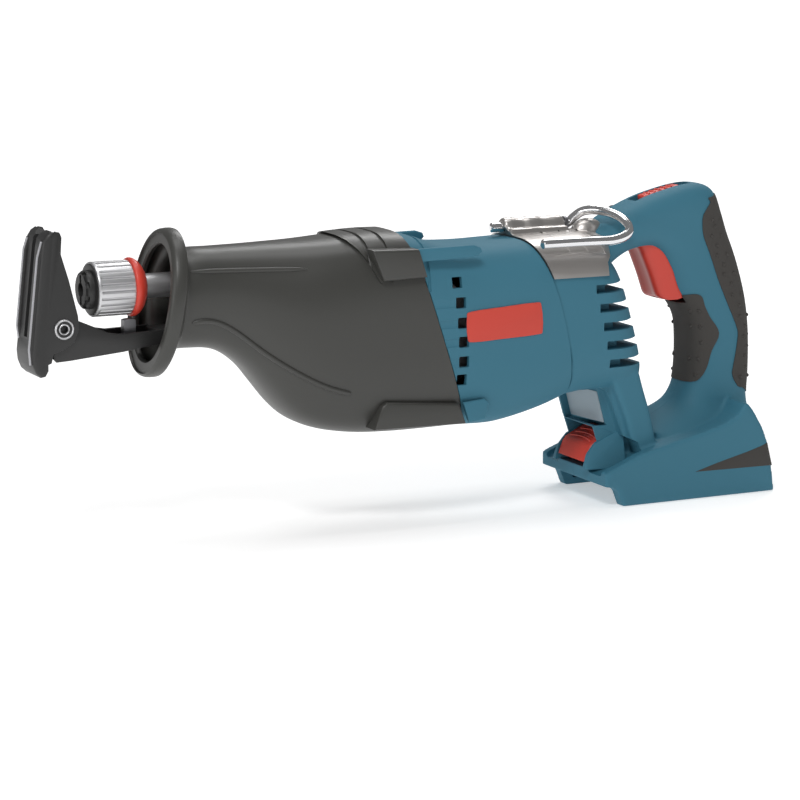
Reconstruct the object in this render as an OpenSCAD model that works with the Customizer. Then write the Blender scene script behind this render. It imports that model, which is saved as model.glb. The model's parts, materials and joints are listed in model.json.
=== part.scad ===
// Cordless reciprocating saw with a D-handle and a slide-on battery foot.
// Origin: centre of the clamp collar's front face, on the plunger's axis.
// +X runs to the rear of the tool, +Z up and -Y is the tool's left side.

/* [Body] */
// Half width of the motor housing
body_half_w = 38; // [36:0.5:46]
// Height of the housing's top above the plunger axis
body_top = 21.5; // [21:0.5:24]
// Depth of the housing's belly below the plunger axis
body_depth = 92; // [90:0.5:112]
// Wall of the blue housings
shell_wall = 3; // [2:0.25:3.5]
// Wall of the rubber boot
boot_wall = 3; // [2:0.25:3.5]
// Height of the boot's mouth flange
mouth_h = 83; // [80:1:92]
// Width of the boot's mouth flange
mouth_w = 66; // [62:1:72]

/* [Handle and foot] */
// Half width of the handle grip
grip_half_w = 17; // [14:0.5:20]
// Half width of the strut between the tail and the foot
strut_half_w = 24; // [20:0.5:29]
// Half width of the battery foot
foot_half_w = 40; // [36:0.5:48]
// Depth of the foot's lower edge below the plunger axis
foot_depth = 147.5; // [146:0.5:158]
// Depth of a soft grip pad
pad_depth = 3; // [2:0.25:3.5]
// Width of the trigger
trigger_w = 24; // [18:0.5:26]

/* [Plunger and clamp] */
// Radius of the plunger
plunger_r = 7; // [6:0.1:8.5]
// Radius of the clamp collar
collar_r = 15.5; // [14:0.25:16.5]
// Length of the clamp collar
collar_len = 24; // [20:0.5:26]
// Radial clearance of a running fit
run_fit = 0.05; // [0.02:0.01:0.09]
// Clearance of a loose sliding fit
slide_fit = 0.3; // [0.2:0.05:0.5]
// Width of the blade slot
blade_slot = 2; // [1.6:0.1:3]

/* [Shoe] */
// Width of the shoe
shoe_w = 30; // [28:0.5:36]
// Sheet thickness of the shoe and its bracket
sheet = 2.5; // [2:0.1:3]
// Radius of the shoe's pivot screw
pivot_r = 3; // [2.5:0.1:4]

/* [Motor and gears] */
// Outer radius of the motor can
can_r = 29; // [26:0.5:30]
// Length of the motor can
can_len = 66; // [58:1:68]
// Radius of the armature shaft
shaft_r = 4; // [3:0.25:5]
// Gear module
gear_module = 0.9; // [0.85:0.01:0.92]
// Teeth on the pinion
pinion_teeth = 12; // [12:1:13]
// Teeth on the drive gear
gear_teeth = 40; // [38:1:40]
// Radius of the hook's rod
hook_r = 2.9; // [2.3:0.1:3.2]

/* [Hidden] */
$fn = 48;
gap = 0.2;           // parting gap between fixed pieces that only face each other
past = 1;            // how far a cutter runs past the face it cuts

motor_z = -40;       // height of the armature axis
gear_gap = gear_module * (pinion_teeth + gear_teeth) / 2;
lay_z = motor_z - gear_gap;
wobble_x = 159;      // centre of the wobble hub
finger_lean = 5.15;  // lean of the wobble finger at rest, forward
gear_x = 177;        // front face of the drive gear
gear_w = 10;
cover_x = 194;       // front face of the gearbox cover
cover_t = 5;
can_x = 226;         // front of the motor can
bearing_r = 9;       // outer radius of the armature's bearings
rear_bearing_x = 310;
lay_r = 5;
lay_bearing_r = 9.5;
lay_bearing_w = 7;
lay_x0 = wobble_x - 22;  // front end of the layshaft
bush_r = plunger_r + 4;
bush_x0 = cover_x - 3.5;  // ends of the rear bush
bush_x1 = cover_x + 12;
plunger_end = 200;
foot_z = -foot_depth;
foot_x0 = 310;       // front edge of the foot
foot_x1 = 430;       // rear face of the foot
split_x = 272.5;     // parting plane of the two blue housings where it crosses the axis
split_lean = -0.243;
seam_x = 190;        // parting plane of boot and motor housing where it crosses the axis
seam_lean = -0.327;
hook_y = 5;          // axis of the hook's tube
hook_z = 20.3;
shoe_px = -21;       // shoe pivot
shoe_pz = -19;

// The trigger's pivot pin and the handle's lines in the XZ plane
trigger_px = 368;
trigger_pz = 20;

// Outer line of the D-handle, from the tail over the top and down the back to the foot
handle_line = [
  [312, 6], [318, 12], [327, 21], [338, 28], [355, 35.6], [369, 39.4], [383, 41.8], [394, 42],
  [401, 39], [405, 33], [407, 24.5], [412, 12], [416.5, 0], [421, -12], [425, -26],
  [427.5, -42], [428.5, -60], [428.5, -76], [427, -92], [427, -106], [foot_x1 - 3, foot_z + 18],
  [336, foot_z + 18], [324, -100], [316, -66], [312, -30]
];
// Hand opening
hand_hole = [
  [338, -30], [332, -14], [331, -5], [335, -1], [341, 0.5], [348, 1.5], [356, 3.5], [361, 0],
  [365, -7], [368.5, -16], [371, -26], [380, -31], [383, -44], [384, -60], [384, -76], [381, -88], [374, -95],
  [364, -100], [356, -103], [350, -102], [345, -96], [342, -80], [340, -60]
];
// Tail behind the motor
tail_line = [
  [split_x - 17 * split_lean * -1, 17], [316, 17], [322, 8], [322, -14], [331, -40], [337, -66],
  [336, -80], [split_x + 80 * -split_lean, -80]
];
strut_line = [[304, -72], [338, -64], [343, -84], [350, -118], [320, -126], [313, -100]];
foot_line = [
  [foot_x0, -125], [335, -117], [377, -109.6], [400, -104], [414, -98.5], [420, -106],
  [425, -119], [foot_x1 - 2, foot_z], [322, foot_z], [316, foot_z + 11], [foot_x0, foot_z + 12]
];
rear_pad = [
  [402, 30], [390, 19], [388, 14], [391, 1], [398.5, -18], [408, -40], [413.5, -53], [411.5, -66],
  [409.5, -80], [412.5, -85], [440, -88], [440, 30]
];
front_pad = [
  [368, -31], [384, -31], [390, -33.5], [394, -41], [398.5, -50], [393.5, -62], [388.5, -74],
  [383, -80.5], [365, -80.5], [365, -31]
];

// ---- Helpers ----

// Unit normal of the edge from a to b
function edge_normal(a, b) = let (e = b - a, l = norm(e)) [-e[1] / l, e[0] / l];
// Signed area of a ring of points
function ring_area(p) = let (n = len(p))
  vsum([for (i = [0:n - 1]) p[i][0] * p[(i + 1) % n][1] - p[(i + 1) % n][0] * p[i][1]]) / 2;
// Sum of a list
function vsum(v, i = 0) = i >= len(v) ? 0 : v[i] + vsum(v, i + 1);
// A ring of points moved inwards by d along its corner bisectors
function inset(p, d) = let (n = len(p), s = ring_area(p) > 0 ? 1 : -1) [
  for (i = [0:n - 1])
    let (a = s * edge_normal(p[(i + n - 1) % n], p[i]), b = s * edge_normal(p[i], p[(i + 1) % n]))
    p[i] + (a + b) * d / (1 + a * b)
];

// Point t degrees round a rounded section: half width w, from z0 to z1, squareness n
function sign0(v) = v < 0 ? -1 : 1;
function rounded(t, w, z0, z1, n) = [
  w * sign0(cos(t)) * pow(abs(cos(t)), 2 / n),
  (z0 + z1) / 2 + (z1 - z0) / 2 * sign0(sin(t)) * pow(abs(sin(t)), 2 / n)
];
// One ring of a shell: station [x, lean, z0, z1, half width, squareness], shrunk by wall
function ring(s, wall, count = 32) = [
  for (i = [0:count - 1])
    let (p = rounded(i * 360 / count, s[4] - wall, s[2] + wall, s[3] - wall, s[5]))
    [s[0] + s[1] * p[1], p[0], p[1]]
];
// A wall between two stacks of rings, open at both ends
module tube_shell(outer, inner) {
  n = len(outer[0]);
  m = len(outer);
  half = n * m;
  function at(j, i, base) = base + j * n + i % n;
  polyhedron(
    points = concat([for (r = outer) each r], [for (r = inner) each r]),
    faces = concat(
      [for (j = [0:m - 2], i = [0:n - 1]) each [
        [at(j, i, 0), at(j + 1, i, 0), at(j, i + 1, 0)],
        [at(j, i + 1, 0), at(j + 1, i, 0), at(j + 1, i + 1, 0)]]],
      [for (j = [0:m - 2], i = [0:n - 1]) each [
        [at(j, i, half), at(j, i + 1, half), at(j + 1, i, half)],
        [at(j, i + 1, half), at(j + 1, i + 1, half), at(j + 1, i, half)]]],
      [for (i = [0:n - 1]) each [
        [at(0, i, 0), at(0, i + 1, 0), at(0, i, half)],
        [at(0, i + 1, 0), at(0, i + 1, half), at(0, i, half)]]],
      [for (i = [0:n - 1]) each [
        [at(m - 1, i, 0), at(m - 1, i, half), at(m - 1, i + 1, 0)],
        [at(m - 1, i + 1, 0), at(m - 1, i, half), at(m - 1, i + 1, half)]]]
    )
  );
}
// Solid through a stack of rings
module solid_loft(rings) {
  n = len(rings[0]);
  m = len(rings);
  function at(j, i) = j * n + i % n;
  polyhedron(
    points = [for (r = rings) each r],
    faces = concat(
      [[for (i = [n - 1:-1:0]) i]],
      [[for (i = [0:n - 1]) (m - 1) * n + i]],
      [for (j = [0:m - 2], i = [0:n - 1]) each [
        [at(j, i), at(j, i + 1), at(j + 1, i)],
        [at(j, i + 1), at(j + 1, i + 1), at(j + 1, i)]]]
    )
  );
}
// Plate of an XZ outline, from y0 to y1
module side_plate(outline, y0, y1) {
  translate([0, y1, 0]) rotate([90, 0, 0]) linear_extrude(y1 - y0) polygon(outline);
}
// Bar of a YZ outline, from x0 to x1
module end_bar(outline, x0, x1) {
  translate([x0, 0, 0]) rotate([90, 0, 90]) linear_extrude(x1 - x0) polygon(outline);
}
module x_cyl(x0, x1, r, y = 0, z = 0) {
  translate([x0, y, z]) rotate([0, 90, 0]) cylinder(h = x1 - x0, r = r);
}
module y_cyl(y0, y1, r, x, z) {
  translate([x, y1, z]) rotate([90, 0, 0]) cylinder(h = y1 - y0, r = r);
}
module x_tube(x0, x1, r1, r0, z = 0) {
  difference() {
    x_cyl(x0, x1, r1, 0, z);
    x_cyl(x0 - past, x1 + past, r0, 0, z);
  }
}
// YZ outline with chamfered corners
function chamfered(w, z0, z1, c) = [
  [-w + c, z0], [w - c, z0], [w, z0 + c], [w, z1 - c], [w - c, z1], [-w + c, z1], [-w, z1 - c],
  [-w, z0 + c]
];
// A block cut to a side outline and an end outline
module block(outline, w, z0, z1, c, x0, x1) {
  intersection() {
    side_plate(outline, -w - past, w + past);
    end_bar(chamfered(w, z0, z1, c), x0, x1);
  }
}
// Coil spring drawn as a stack of rings along X on one bar
module ring_spring(x0, x1, r, wire, turns) {
  pitch = (x1 - x0 - 2 * wire) / (turns - 1);
  for (i = [0:turns - 1])
    translate([x0 + wire + i * pitch, 0, 0]) rotate([0, 90, 0])
      rotate_extrude() translate([r, 0]) circle(r = wire, $fn = 16);
  x_cyl(x0 + wire, x1 - wire, wire * 0.8, 0, r);
}

// ---- Boot and blue shells ----

belly = -body_depth;
mouth_z0 = -9.5 - mouth_h / 2;
mouth_z1 = -9.5 + mouth_h / 2;
// [x on the axis, lean, z0, z1, half width, squareness]
boot_stations = [
  [37.6, 0.122, mouth_z0 + 2, mouth_z1 - 2, mouth_w / 2 - 2, 2.2],
  [39.4, 0.122, mouth_z0, mouth_z1, mouth_w / 2, 2.2],
  [44.6, 0.122, mouth_z0, mouth_z1, mouth_w / 2, 2.2],
  [47, 0.12, mouth_z0 + 5, mouth_z1 - 4, mouth_w / 2 - 3, 2.2],
  [50.5, 0.11, -36.5, body_top - 1, 24.5, 2.3],
  [58, 0.08, -35.5, body_top - 1.2, 24, 2.3],
  [70, 0.04, -36, body_top - 1.3, 24.3, 2.3],
  [80, 0.02, -41, body_top - 1.2, 25.5, 2.3],
  [90, 0, belly + 42, body_top - 1, 27.5, 2.4],
  [100, 0, belly + 29.5, body_top - 0.8, 30, 2.5],
  [110, 0, belly + 18, body_top - 0.6, 32.5, 2.6],
  [120, 0, belly + 9.5, body_top - 0.4, body_half_w - 3, 2.7],
  [132, -0.02, belly + 3.5, body_top, body_half_w - 1.3, 2.9],
  [146, -0.08, belly, body_top + 1.2, body_half_w - 0.3, 3],
  [160, -0.16, belly - 0.5, body_top + 3, body_half_w, 3.2],
  [175, -0.25, belly - 0.5, body_top + 3, body_half_w, 3.3],
  [seam_x - gap, seam_lean, belly, body_top + 2.5, body_half_w, 3.3]
];
motor_stations = [
  [seam_x + gap, seam_lean, belly, body_top + 2.5, body_half_w, 3.3],
  [202, -0.31, belly, body_top, body_half_w, 3.4],
  [216, -0.29, belly, body_top - 5.5, body_half_w, 3.5],
  [234, -0.27, belly + 1, body_top - 7.5, body_half_w, 3.6],
  [254, -0.25, belly + 6, body_top - 8, body_half_w, 3.6],
  [split_x - gap, split_lean, belly + 12, body_top - 6.5, body_half_w, 3.6]
];

module boot() {
  color([0.2, 0.19, 0.18])
    tube_shell([for (s = boot_stations) ring(s, 0)], [for (s = boot_stations) ring(s, boot_wall)]);
}

vent_side = 6.5;
vent_pitch = 11.6;
module motor_housing() {
  rib_w = body_half_w - shell_wall / 2;
  color([0.1, 0.35, 0.45]) difference() {
    union() {
      tube_shell([for (s = motor_stations) ring(s, 0)],
        [for (s = motor_stations) ring(s, shell_wall)]);
      for (x = [can_x + 4, can_x + can_len - 34])
        end_bar([for (i = [0:31])
          rounded(i * 11.25, rib_w, belly + 4, body_top - 9, 3.4)], x, x + shell_wall);
    }
    for (x = [can_x + 4, can_x + can_len - 34])
      x_cyl(x - past, x + shell_wall + past, can_r, 0, motor_z);
    // Room over the motor for the plunger's rear end
    x_cyl(can_x, can_x + 20, plunger_r + 2);
    // Air vents, both sides
    for (i = [0:5])
      translate([214.5 - 0.75 * (i - 3) * (i - 3) / 2, -body_half_w - past, -8 - vent_pitch * i])
        cube([vent_side, 2 * body_half_w + 2 * past, vent_side]);
  }
}

// ---- Gearbox ----

gear_wall = 3;
gear_top = 14.5;
gear_chamfer = 17;
gear_floor = belly + 5;
gear_w2 = body_half_w - 9;
gearbox_side = [
  [92, gear_top], [cover_x, gear_top], [cover_x, gear_floor], [146, gear_floor],
  [128, gear_floor + 16], [115, gear_floor + 29], [105, gear_floor + 41], [97, gear_floor + 54],
  [92, gear_floor + 60]
];
gearbox_plan = [
  [90, -15], [104, -17.5], [128, -gear_w2 + 4], [144, -gear_w2], [cover_x + 2, -gear_w2],
  [cover_x + 2, gear_w2], [144, gear_w2], [128, gear_w2 - 4], [104, 17.5], [90, 15]
];
module gearbox_block(d) {
  intersection() {
    side_plate(inset(gearbox_side, d), -gear_w2 - past, gear_w2 + past);
    translate([0, 0, -120]) linear_extrude(160) polygon(inset(gearbox_plan, d));
    end_bar(inset(chamfered(gear_w2, gear_floor, gear_top, gear_chamfer), d), 80, cover_x + past);
  }
}
tongue_h = 5.2;      // thickness of the bracket's sliding tongue
tongue_z = -29;      // its underside
tongue_w = 8;        // its half width
nose_x = 54;         // front of the casting
seal_len = 4;
bush_end = 84;       // rear end of the front bush
// Section of the casting that guides the tongue under the plunger
nose_section = [
  [-tongue_w - 3, 0], [-tongue_w - 3, -26], [-tongue_w, -30.2], [tongue_w, -30.2],
  [tongue_w + 3, -26], [tongue_w + 3, 0]
];
module gearbox_housing() {
  color([0.62, 0.63, 0.65]) difference() {
    union() {
      gearbox_block(0);
      x_cyl(nose_x, 96, bush_r + 4);
      end_bar(nose_section, nose_x, nose_x + 42);
    }
    // Open at the rear, closed by the cover
    difference() {
      gearbox_block(gear_wall);
      translate([lay_x0, -gear_w2, gear_floor]) cube([lay_bearing_w, 2 * gear_w2, -gear_floor - 44]);
    }
    x_cyl(cover_x - 4, cover_x + past, 15, 0, -2);
    translate([cover_x - gear_wall - past, -gear_w2 + 9, gear_floor + 9])
      cube([gear_wall + 2 * past, 2 * gear_w2 - 18, gear_top - gear_floor - 18]);
    // Seats for the front bush and the seal, and the bore for the plunger
    x_cyl(nose_x - past, bush_end, bush_r);
    x_cyl(nose_x, 100, plunger_r + 1);
    // Slot for the bracket's tongue
    translate([nose_x - past, -tongue_w - slide_fit, tongue_z - slide_fit])
      cube([52 + past, 2 * tongue_w + 2 * slide_fit, tongue_h + 2 * slide_fit]);
    // Layshaft bearing seat
    x_cyl(lay_x0 - past, lay_x0 + lay_bearing_w + past, lay_bearing_r, 0, lay_z);
  }
}

screw_spots = [for (y = [-1, 1], z = [0, 1]) [y * (gear_w2 - 5.5), z == 0 ? gear_floor + 17 : gear_top - 13]];
module gearbox_cover() {
  color([0.55, 0.56, 0.58]) difference() {
    union() {
      end_bar(chamfered(gear_w2, gear_floor, gear_top, gear_chamfer), cover_x + gap, cover_x + cover_t);
      x_cyl(bush_x0, bush_x1, bush_r + 1.5);
    }
    x_cyl(bush_x0 - past, bush_x1 + past, bush_r);
    x_cyl(cover_x, cover_x + cover_t + past, bearing_r, 0, motor_z);
    x_cyl(cover_x, cover_x + cover_t + past, lay_bearing_r, 0, lay_z);
    for (p = screw_spots) x_cyl(cover_x, cover_x + cover_t + past, 2, p[0], p[1]);
  }
}
module gearbox_screws() {
  color("silver") for (p = screw_spots) {
    x_cyl(cover_x + gap, cover_x + cover_t, 2, p[0], p[1]);
    difference() {
      x_cyl(cover_x + cover_t, cover_x + cover_t + 3, 3.5, p[0], p[1]);
      x_cyl(cover_x + cover_t + 1.2, cover_x + cover_t + 4, 1.6, p[0], p[1], $fn = 6);
    }
  }
}

// ---- Plunger and blade clamp ----

socket_x = -6.5;       // tip of the clamp nose
slot_len = 9.7;      // finger slot in the plunger
finger_r = 4.4;
pin_x = 14;          // clamp pin
pin_r = 1.5;
stem_x = 6;          // front end of the plunger inside the clamp
stem_r = plunger_r - 1.5;
module plunger() {
  color("silver") difference() {
    union() {
      x_cyl(collar_len + 6, plunger_end, plunger_r);
      x_cyl(stem_x, collar_len + 6, stem_r);
    }
    // Blade slot in the front, finger slot underneath
    translate([stem_x - past, -blade_slot / 2, -4]) cube([16, blade_slot, 8]);
    translate([wobble_x - 5.7 - slot_len / 2, -plunger_r, -plunger_r - past])
      cube([slot_len, 2 * plunger_r, plunger_r + 5.5 + past]);
    // Pin hole of the clamp
    y_cyl(-plunger_r, plunger_r, pin_r, pin_x, 0);
  }
}
module clamp_body() {
  color([0.25, 0.25, 0.26]) difference() {
    x_cyl(4, collar_len - 1, plunger_r + 3);
    x_cyl(4 - past, collar_len, stem_r);
    translate([0, -blade_slot / 2, -plunger_r]) cube([12, blade_slot, 2 * plunger_r]);
    y_cyl(-plunger_r - 4, plunger_r + 4, pin_r, pin_x, 0);
  }
}
module clamp_pin() {
  color("silver") for (s = [-1, 1])
    y_cyl(s > 0 ? blade_slot / 2 + 0.3 : -plunger_r - 2.5, s > 0 ? plunger_r + 2.5 : -blade_slot / 2 - 0.3,
      pin_r, pin_x, 0);
}
module clamp_spring() {
  color("silver") ring_spring(collar_len - 5, collar_len - 1.4, plunger_r + 4.2, 0.5, 3);
}
module clamp_nose() {
  color([0.08, 0.08, 0.08]) difference() {
    union() {
      x_cyl(socket_x, 4, collar_r - 3.8);
      x_cyl(1.2, 4, collar_r - 2.6 - run_fit);
    }
    // Blade slot and its round lead-in
    translate([socket_x - past, -blade_slot / 2 - 0.4, -8.5]) cube([20, blade_slot + 0.8, 17]);
    x_cyl(socket_x - past, 4 + past, 4);
    // Notches round the rim
    for (a = [0:60:300]) rotate([a, 0, 0])
      translate([socket_x - past, -1.5, collar_r - 5.6]) cube([3.2, 3, 4]);
  }
}
module clamp_collar() {
  flute_n = 24;
  color([0.75, 0.75, 0.76]) difference() {
    x_cyl(0, collar_len, collar_r);
    x_cyl(-past, collar_len + past, collar_r - 2.6);
    for (i = [0:flute_n - 1]) rotate([i * 360 / flute_n, 0, 0])
      x_cyl(2, collar_len + past, 0.9, 0, collar_r + 0.25, $fn = 16);
    // Window and wavy notch of the underside
    translate([collar_len - 8, 0, -collar_r + 4]) rotate([180, 0, 0]) cylinder(h = 8, r = 3.2);
  }
}
module clamp_ring() {
  color([0.8, 0.1, 0.1]) translate([collar_len + gap, 0, 0]) rotate([0, 90, 0]) rotate_extrude()
    polygon([[plunger_r + 0.6, 0], [collar_r - 0.6, 0], [collar_r + 1.2, 1.6], [collar_r + 1, 3.4],
      [plunger_r + 3, 6.6], [plunger_r + 0.6, 6.6]]);
}
module shaft_seal() {
  color([0.1, 0.1, 0.1]) x_tube(nose_x + gap, nose_x + seal_len, bush_r, plunger_r + run_fit);
}
module front_bush() {
  color([0.7, 0.55, 0.3]) x_tube(nose_x + seal_len, bush_end, bush_r, plunger_r + run_fit);
}
module rear_bush() {
  color([0.7, 0.55, 0.3]) x_tube(bush_x0, bush_x1, bush_r, plunger_r + run_fit);
}

// ---- Drive ----

module layshaft() {
  color("silver") x_cyl(lay_x0, cover_x + cover_t, lay_r, 0, lay_z);
}
module layshaft_bearings() {
  color("silver") for (x = [lay_x0, cover_x + gap])
    x_tube(x, x + (x < cover_x ? lay_bearing_w : cover_t - gap), lay_bearing_r, lay_r + run_fit, lay_z);
}
// Tooth outline: straight-flanked approximation of a full-depth tooth, thinned for backlash
backlash = 0.22;
function tooth(n, k, phase) = let (
  rp = gear_module * n / 2, half = 90 / n, thin = backlash / rp * 57.3 / 2,
  a = phase + k * 360 / n,
  flank = function (r) half - thin - (r - rp) * 20.9 / rp
) [
  for (p = [[rp - 1.2 * gear_module, -1], [rp, -1], [rp + 0.75 * gear_module, -1],
    [rp + 0.75 * gear_module, 1], [rp, 1], [rp - 1.2 * gear_module, 1]])
    let (t = a + p[1] * flank(p[0])) p[0] * [cos(t), sin(t)]
];
module spur(n, w, phase) {
  linear_extrude(w) polygon([for (k = [0:n - 1]) each tooth(n, k, phase)]);
}
module drive_gear() {
  color([0.6, 0.6, 0.62]) translate([gear_x, 0, lay_z]) rotate([0, 90, 0]) difference() {
    spur(gear_teeth, gear_w, 180);
    translate([0, 0, -past]) cylinder(h = gear_w + 2 * past, r = lay_r);
    for (a = [0:60:300]) rotate([0, 0, a])
      translate([11, 0, -past]) cylinder(h = gear_w + 2 * past, r = 2.5);
  }
}
module pinion() {
  phase = 180 / pinion_teeth;
  color([0.6, 0.6, 0.62]) translate([gear_x - 1, 0, motor_z]) rotate([0, 90, 0]) difference() {
    spur(pinion_teeth, gear_w + 4, phase);
    translate([0, 0, -past]) cylinder(h = gear_w + 6, r = shaft_r - 0.8);
  }
}
hub_r = 11;
module wobble_hub() {
  color([0.5, 0.5, 0.52]) difference() {
    intersection() {
      translate([wobble_x, 0, lay_z]) sphere(r = hub_r, $fn = 64);
      x_cyl(wobble_x - 7, wobble_x + 7, hub_r + 2, 0, lay_z);
    }
    x_cyl(wobble_x - 10, wobble_x + 10, lay_r, 0, lay_z);
  }
}
module wobble_ring() {
  color([0.65, 0.65, 0.67]) translate([wobble_x, 0, lay_z]) rotate([0, -finger_lean, 0]) {
    difference() {
      union() {
        translate([-5, 0, 0]) rotate([0, 90, 0]) cylinder(h = 10, r = 15);
        cylinder(h = -lay_z - 3, r1 = 5, r2 = 2.6);
      }
      sphere(r = hub_r + run_fit * 2, $fn = 64);
    }
    translate([0, 4.6, -lay_z * 1.004]) rotate([90, 0, 0]) cylinder(h = 9.2, r = finger_r);
  }
}

// ---- Motor ----

module armature_shaft() {
  color("silver") {
    x_cyl(gear_x + gear_w + 3, rear_bearing_x + 8, shaft_r, 0, motor_z);
    x_cyl(gear_x - 1, gear_x + gear_w + 3, shaft_r - 0.8, 0, motor_z);
  }
}
module armature_bearings() {
  color("silver") {
    x_tube(cover_x + gap, cover_x + cover_t + 2, bearing_r, shaft_r, motor_z);
    x_tube(rear_bearing_x, rear_bearing_x + 6, bearing_r, shaft_r, motor_z);
  }
}
fan_x = 207;
module fan() {
  color([0.15, 0.15, 0.16]) difference() {
    union() {
      x_cyl(fan_x, fan_x + 2.5, can_r - 2, 0, motor_z);
      x_cyl(fan_x, fan_x + 12, 8, 0, motor_z);
      translate([fan_x + 2, 0, motor_z]) for (a = [0:30:330]) rotate([a, 0, 0])
        translate([0, -0.8, 7]) cube([10, 1.6, can_r - 10]);
    }
    x_cyl(fan_x - past, fan_x + 13, shaft_r, 0, motor_z);
  }
}
module motor_can() {
  color([0.45, 0.45, 0.47]) {
    x_tube(can_x, can_x + can_len, can_r, can_r - 2.5, motor_z);
    x_tube(can_x, can_x + 2, can_r - 2.5, shaft_r + 4, motor_z);
  }
}
module magnets() {
  color([0.3, 0.3, 0.32]) for (s = [-1, 1]) intersection() {
    x_tube(can_x + 8, can_x + can_len - 8, can_r - 2.5, can_r - 5.5, motor_z);
    translate([can_x, s > 0 ? 6 : -can_r - 6, motor_z - can_r]) cube([can_len, can_r, 2 * can_r]);
  }
}
core_len = 42;
module armature_core() {
  color([0.4, 0.4, 0.42]) translate([can_x + 12, 0, motor_z]) rotate([0, 90, 0]) difference() {
    cylinder(h = core_len, r = can_r - 6.5);
    translate([0, 0, -past]) cylinder(h = core_len + 2 * past, r = shaft_r);
    for (a = [0:36:324]) rotate([0, 0, a])
      translate([can_r - 9.5, -1.2, -past]) cube([5, 2.4, core_len + 2 * past]);
  }
}
module windings() {
  color([0.7, 0.35, 0.15]) {
    x_tube(can_x + 5, can_x + 12, can_r - 9, shaft_r, motor_z);
    x_tube(can_x + 54, can_x + 61, can_r - 9, shaft_r, motor_z);
  }
}
module commutator() {
  color([0.75, 0.45, 0.25]) difference() {
    x_tube(can_x + 67, can_x + 81, 10, shaft_r, motor_z);
    for (a = [0:18:342]) translate([can_x + 66, 0, motor_z]) rotate([a, 0, 0])
      translate([0, -0.25, 9.4]) cube([16, 0.5, 2]);
  }
}
brush_z = 4;         // half height of a brush
brush_x = can_x + 71.5;
brush_w = 7;
module brush_holder() {
  color([0.2, 0.18, 0.16]) difference() {
    union() {
      x_cyl(can_x + can_len + 1, can_x + can_len + 4, can_r - 3, 0, motor_z);
      x_tube(can_x + can_len + 4, rear_bearing_x + 6, 12.5, 10.6, motor_z);
      for (s = [-1, 1]) translate([can_x + 70, s > 0 ? 10.6 : -24, motor_z - 5]) cube([10, 13.4, 10]);
    }
    x_cyl(can_x + can_len, rear_bearing_x - past, 10.6, 0, motor_z);
    x_cyl(rear_bearing_x - 2, rear_bearing_x + 7, bearing_r, 0, motor_z);
    for (s = [-1, 1])
      translate([brush_x, s > 0 ? 10 : -25, motor_z - brush_z]) cube([brush_w, 15, 2 * brush_z]);
  }
}
module carbon_brushes() {
  color([0.1, 0.1, 0.1]) for (s = [-1, 1])
    translate([brush_x + gap, s > 0 ? 10.3 : -22.3, motor_z - brush_z + gap])
      cube([brush_w - 2 * gap, 12, 2 * brush_z - 2 * gap]);
}

// ---- Shoe ----

shoe_plate_line = [[-32, 32], [-29.5, 35.2], [-25, 36], [-22.5, 33], [-30, -34], [-28.5, -41],
  [-29, -45], [-33.5, -46], [-37.5, -41.5], [-39.3, -34]];
cheek_line = [[-27, 32], [-23, 33.5], [-21.5, 22], [-12, -14], [-12.2, -21], [-15.5, -26.5],
  [-21, -28.6], [-27, -30], [-34, -34]];
module shoe() {
  color([0.1, 0.1, 0.1]) difference() {
    union() {
      side_plate(shoe_plate_line, -shoe_w / 2, shoe_w / 2);
      for (y = [-shoe_w / 2, shoe_w / 2 - sheet]) side_plate(cheek_line, y, y + sheet);
    }
    // Blade slot, open at the top
    translate([-60, -3.5, -24]) cube([60, 7, 80]);
    y_cyl(-shoe_w / 2 - past, shoe_w / 2 + past, pivot_r, shoe_px, shoe_pz);
    // Groove beside each of the two front ribs
    for (y = [-8.2, 8.2]) translate([-60, y - 1.6, -60]) rotate([0, 6.2, 0])
      cube([15.4, 3.2, 120]);
  }
}
arm_w = shoe_w / 2 - sheet - slide_fit;
bracket_line = [[-21, -12], [-14.5, -13], [-9, -17], [2, -21.2], [18, -23.4], [38, -23.8],
  [38, tongue_z], [15, -33], [-10, -36], [-19, -37], [-23, -33], [-27, -23.5], [-28, -19], [-26, -14]];
module shoe_bracket() {
  color([0.12, 0.12, 0.12]) difference() {
    union() {
      side_plate(bracket_line, -arm_w, arm_w);
      translate([36, -tongue_w, tongue_z]) cube([64, 2 * tongue_w, tongue_h]);
    }
    // Channel between the arms, with a floor from the neck backwards
    translate([-60, -arm_w + sheet, -60]) cube([61, 2 * arm_w - 2 * sheet, 90]);
    side_plate([[0, 0], [0, -31], [36, -26.6], [40, -26.6], [40, 0]], -arm_w + sheet, arm_w - sheet);
    y_cyl(-arm_w - past, arm_w + past, pivot_r + run_fit, shoe_px, shoe_pz);
  }
}
module bracket_post() {
  color([0.3, 0.3, 0.31]) intersection() {
    side_plate([[18, -28.8], [25, -27.94], [25, -14], [18, -14]], -5, 0);
    y_cyl(-6, 1, 12, 21.5, -29.5);
  }
}
module shoe_pivot_screw() {
  color([0.6, 0.6, 0.6]) for (s = [-1, 1]) mirror([0, s > 0 ? 1 : 0, 0]) {
    difference() {
      y_cyl(-shoe_w / 2 - 1.4, -shoe_w / 2, 5.3, shoe_px, shoe_pz);
      y_cyl(-shoe_w / 2 - 2, -shoe_w / 2 - 0.3, 2.4, shoe_px, shoe_pz, $fn = 6);
    }
    y_cyl(-shoe_w / 2, -arm_w + sheet, pivot_r, shoe_px, shoe_pz);
  }
}

// ---- Rear housing: tail, strut, D-handle and foot ----

tail_top = 8;
// Plan of the tail: its rear corners are swept in
tail_plan = [
  [250, -body_half_w], [314, -body_half_w], [326, -30], [341, -18], [341, 18], [326, 30],
  [314, body_half_w], [250, body_half_w]
];
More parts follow.
